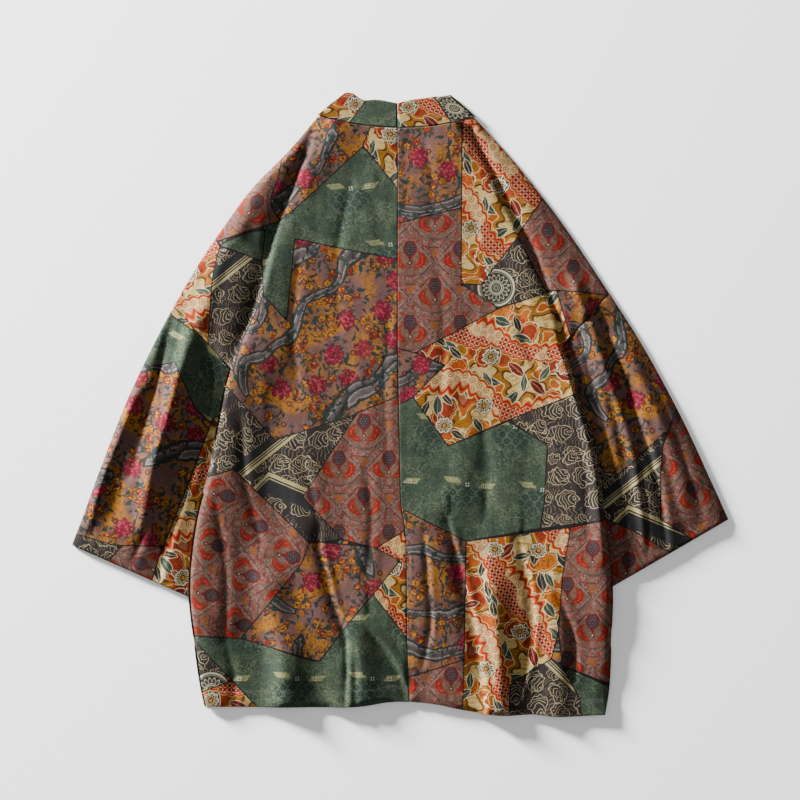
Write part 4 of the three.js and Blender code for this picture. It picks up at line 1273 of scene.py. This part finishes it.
# Neck band
# A long straight strip, doubled to 43 mm wide, sewn round the neck and down both front edges. It
# stands up over the back of the neck, folds over at the neck's two corners and lies face down.
# The doubled strip, the heights at which its two runs lie, and the curve of the neck seam.
BAND_WIDTH = 43 * MM
BAND_CLOTH = 2 * MM
BAND_EDGE_ROUND = 1.2 * MM
BAND_TURN_Y = 366 * MM
BAND_LOW_Z = 1.0 * MM
BAND_HIGH_Z = 4.4 * MM
BAND_MIDDLE_X = -3 * MM
SEAM_GAP = 0.15 * MM
NECK_LOW_Y = 357 * MM
NECK_RISE = 16 * MM
NECK_HALF = 105 * MM
NECK_SHIFT = 3.2 * MM
# The seam of the band down the fronts: y, then how far it is left and right of the middle.
BAND_SEAM = [
    (-384, 50, 50), (120, 50, 50), (180, 51, 51), (245, 56, 55), (300, 68, 64), (342, 85, 78),
    (374, 105, 97),
]
BAND_CORNERS = {"left": ((-105, 374), (-69, 402)), "right": ((96, 370.6), (64, 399))}
# The band's free edge behind the neck, from its middle out, as pixels of the photograph.
NECK_EDGE = {
    "left": [(397, 103.5), (378, 100), (365, 100.5), (359, 98), (353, 94), (346, 93)],
    "right": [(397, 103.5), (412, 100), (427, 98), (440, 96.5), (450, 96)],
}
# The print along each half of the band, from the middle of the back, with the length where each
# patch ends, in millimetres.
BAND_PRINTS = {
    "left": [
        ("green", 52), ("cream", 100), ("floral", 190), ("charcoal_waves", 290), ("green", 380),
        ("pomegranate", 520), ("cream", 610), ("floral", 760), ("charcoal_bands", 900),
        ("floral", 2000),
    ],
    "right": [
        ("cream", 58), ("charcoal_medallion", 86), ("floral", 170), ("green", 270), ("cream", 390),
        ("charcoal_waves", 480), ("floral", 640), ("pomegranate", 770), ("green", 2000),
    ],
}
BAND_SHARES = [0, 0.015, 0.04, 0.08, 0.15, 0.25, 0.37, 0.5, 0.63, 0.75, 0.85, 0.92, 0.96, 0.985, 1]


def hem_height(x):
    """Where the hem of the back is, at a distance from the middle."""
    loops = np.vstack([smooth_loop("back_left"), smooth_loop("back_right")])
    near = loops[(np.abs(loops[:, 0] - x) < 3 * MM) & (loops[:, 1] < -0.3)]
    return near[:, 1].mean() + 0.4 * MM


def band_stations(side):
    """The band's route: its seam point, its free point, its height and how far it has turned."""
    sign, column = (-1, 1) if side == "left" else (1, 2)
    seam_corner, free_corner = [np.array([x, y - 3.2]) * MM for x, y in BAND_CORNERS[side]]
    edge = smooth_run(np.array([from_photo(*place) for place in NECK_EDGE[side]]), 2 * MM)
    edge = edge[np.argsort(edge[:, 0])]
    start = BAND_MIDDLE_X + sign * SEAM_GAP
    stations = []
    for share in np.linspace(0, 1, 34):
        x = start + (seam_corner[0] - start) * share
        seam = np.array([x, NECK_LOW_Y - NECK_SHIFT + NECK_RISE * (x / NECK_HALF) ** 2 + SEAM_GAP])
        free_x = start + (free_corner[0] - start) * share
        free_y = np.interp(free_x, edge[:, 0], edge[:, 1])
        free_y += (free_corner[1] - free_y) * np.clip((share - 0.72) / 0.28, 0, 1) ** 2
        stations.append((seam, np.array([free_x, free_y]), BAND_HIGH_Z, 0.0))
    middle_z, turn_radius = (BAND_HIGH_Z + BAND_LOW_Z) / 2, (BAND_HIGH_Z - BAND_LOW_Z) / 2
    for turn in np.linspace(0, math.pi, 13):
        back = np.array([-sign * turn_radius * (1 - math.sin(turn)), 0])
        height = middle_z + turn_radius * math.cos(turn)
        stations.append((seam_corner + back, free_corner + back, height, turn))
    rows = smooth_run(np.array(BAND_SEAM)[:, [0, column]] * MM, 2 * MM)
    seam_end, free_end = hem_height(sign * 50 * MM), hem_height(sign * 8 * MM)
    for y in [*np.arange(BAND_TURN_Y, seam_end + 1 * MM, -5 * MM), seam_end]:
        x, beyond = np.interp([y + NECK_SHIFT, y + NECK_SHIFT + MM], rows[:, 0], rows[:, 1])
        tilt = math.atan((beyond - x) / MM)
        seam = np.array([sign * x, y])
        free = seam + [-sign * BAND_WIDTH * math.cos(tilt), BAND_WIDTH * math.sin(tilt)]
        free[1] += (free_end - seam_end) * np.clip((seam_end + 40 * MM - y) / (40 * MM), 0, 1)
        stations.append((seam, free, BAND_LOW_Z, math.pi))
    return stations


def make_band(name, side):
    """One half of the neck band, as a closed flat strip with a round free edge."""
    stations = band_stations(side)
    sign = -1 if side == "left" else 1
    ring = [(share, 1) for share in BAND_SHARES] + [(share, -1) for share in BAND_SHARES[::-1]]
    size = len(ring)
    points, prints, lengths = [], [], [0.0]
    before = None
    for seam, free, z, turn in stations:
        middle, width = (seam + free) / 2, np.linalg.norm(free - seam)
        if before is not None:
            rise = abs(z - before[1]) * 0.5
            lengths.append(lengths[-1] + np.linalg.norm(middle - before[0]) + rise)
        before = (middle, z)
        across = (free - seam) / width
        away = np.array([across[1], -across[0]]) * sign
        out = np.array([away[0] * math.sin(turn), away[1] * math.sin(turn), math.cos(turn)])
        for share, way in ring:
            curve = rounded(min(share, 1 - share) * width, BAND_EDGE_ROUND)
            half = BAND_CLOTH / 2 * (0.08 + 0.92 * curve)
            points.append(np.append(seam + (free - seam) * share, z) + out * half * way)
            prints.append((lengths[-1], share * BAND_WIDTH * way))
    lengths = np.array(lengths) / MM
    cottons, ends = zip(*BAND_PRINTS[side])
    owners = np.searchsorted(ends, (lengths[1:] + lengths[:-1]) / 2, "right")
    faces = []
    for first in range(0, (len(stations) - 1) * size, size):
        for j in range(size):
            p, q = first + j, first + (j + 1) % size
            faces.append((p, q, q + size, p + size)[::-sign])
    cap = list(range(size))
    faces += [cap[::sign], [first + size + k for k in cap][::-sign]]
    shown = [*np.repeat(owners, size), owners[0], owners[-1]]
    far = np.full(len(stations), BORDER_REACH)
    for i in np.flatnonzero(np.diff(owners)) + 1:
        far[i - 1:i + 2] = np.minimum(far[i - 1:i + 2], abs(lengths[i - 1:i + 2] - lengths[i]))
    placed = [(cotton, (start * MM + 14 * MM, 20 * MM), 30 * k, [])
              for k, (cotton, start) in enumerate(zip(cottons, (0, *ends)))]
    return cloth_object(name, np.array(points), faces, shown, placed, np.array(prints),
                        np.repeat(far, size), np.zeros(len(points)))


for side in ("left", "right"):
    band = make_band("neck_band_cloth_" + side, side)
    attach(band, "root")
    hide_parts("band_" + side)


# Surface, camera and lights
# A plain white surface with soft light from the upper left, seen from straight above as in the
# photograph.
FLOOR_SIZE = 8
FLOOR_COLOUR = (0.92, 0.92, 0.92, 1)
# Each light's name, place, side length in metres and power in watts.
LIGHTS = [("window", (-4.1, 3.2, 0.86), 0.7, 3950), ("overhead", (0.3, -0.4, 3.2), 3.2, 24)]
SKY_STRENGTH = 0.4
CAMERA_PLACE = (0, 0.0058, 2.844)
CAMERA_LENS, CAMERA_SENSOR = 100, 36

bpy.ops.mesh.primitive_plane_add(size=FLOOR_SIZE)
floor = bpy.context.object
floor.name = "floor"
surface = bpy.data.materials.new("plain_surface")
surface.use_nodes = True
surface.node_tree.nodes["Principled BSDF"].inputs["Base Color"].default_value = FLOOR_COLOUR
surface.node_tree.nodes["Principled BSDF"].inputs["Roughness"].default_value = 0.9
floor.data.materials.append(surface)

for name, place, size, watts in LIGHTS:
    lamp = bpy.data.lights.new(name, "AREA")
    lamp.size = size
    lamp.energy = watts
    holder = bpy.data.objects.new(name, lamp)
    holder.location = place
    holder.rotation_euler = (-Vector(place)).to_track_quat("-Z", "Y").to_euler()
    bpy.context.scene.collection.objects.link(holder)
world = bpy.data.worlds.new("studio")
world.use_nodes = True
world.node_tree.nodes["Background"].inputs["Color"].default_value = (1, 1, 1, 1)
world.node_tree.nodes["Background"].inputs["Strength"].default_value = SKY_STRENGTH
bpy.context.scene.world = world

camera_data = bpy.data.cameras.new("camera")
camera_data.lens = CAMERA_LENS
camera_data.sensor_width = CAMERA_SENSOR
camera = bpy.data.objects.new("camera", camera_data)
camera.location = CAMERA_PLACE
bpy.context.scene.collection.objects.link(camera)
bpy.context.scene.camera = camera
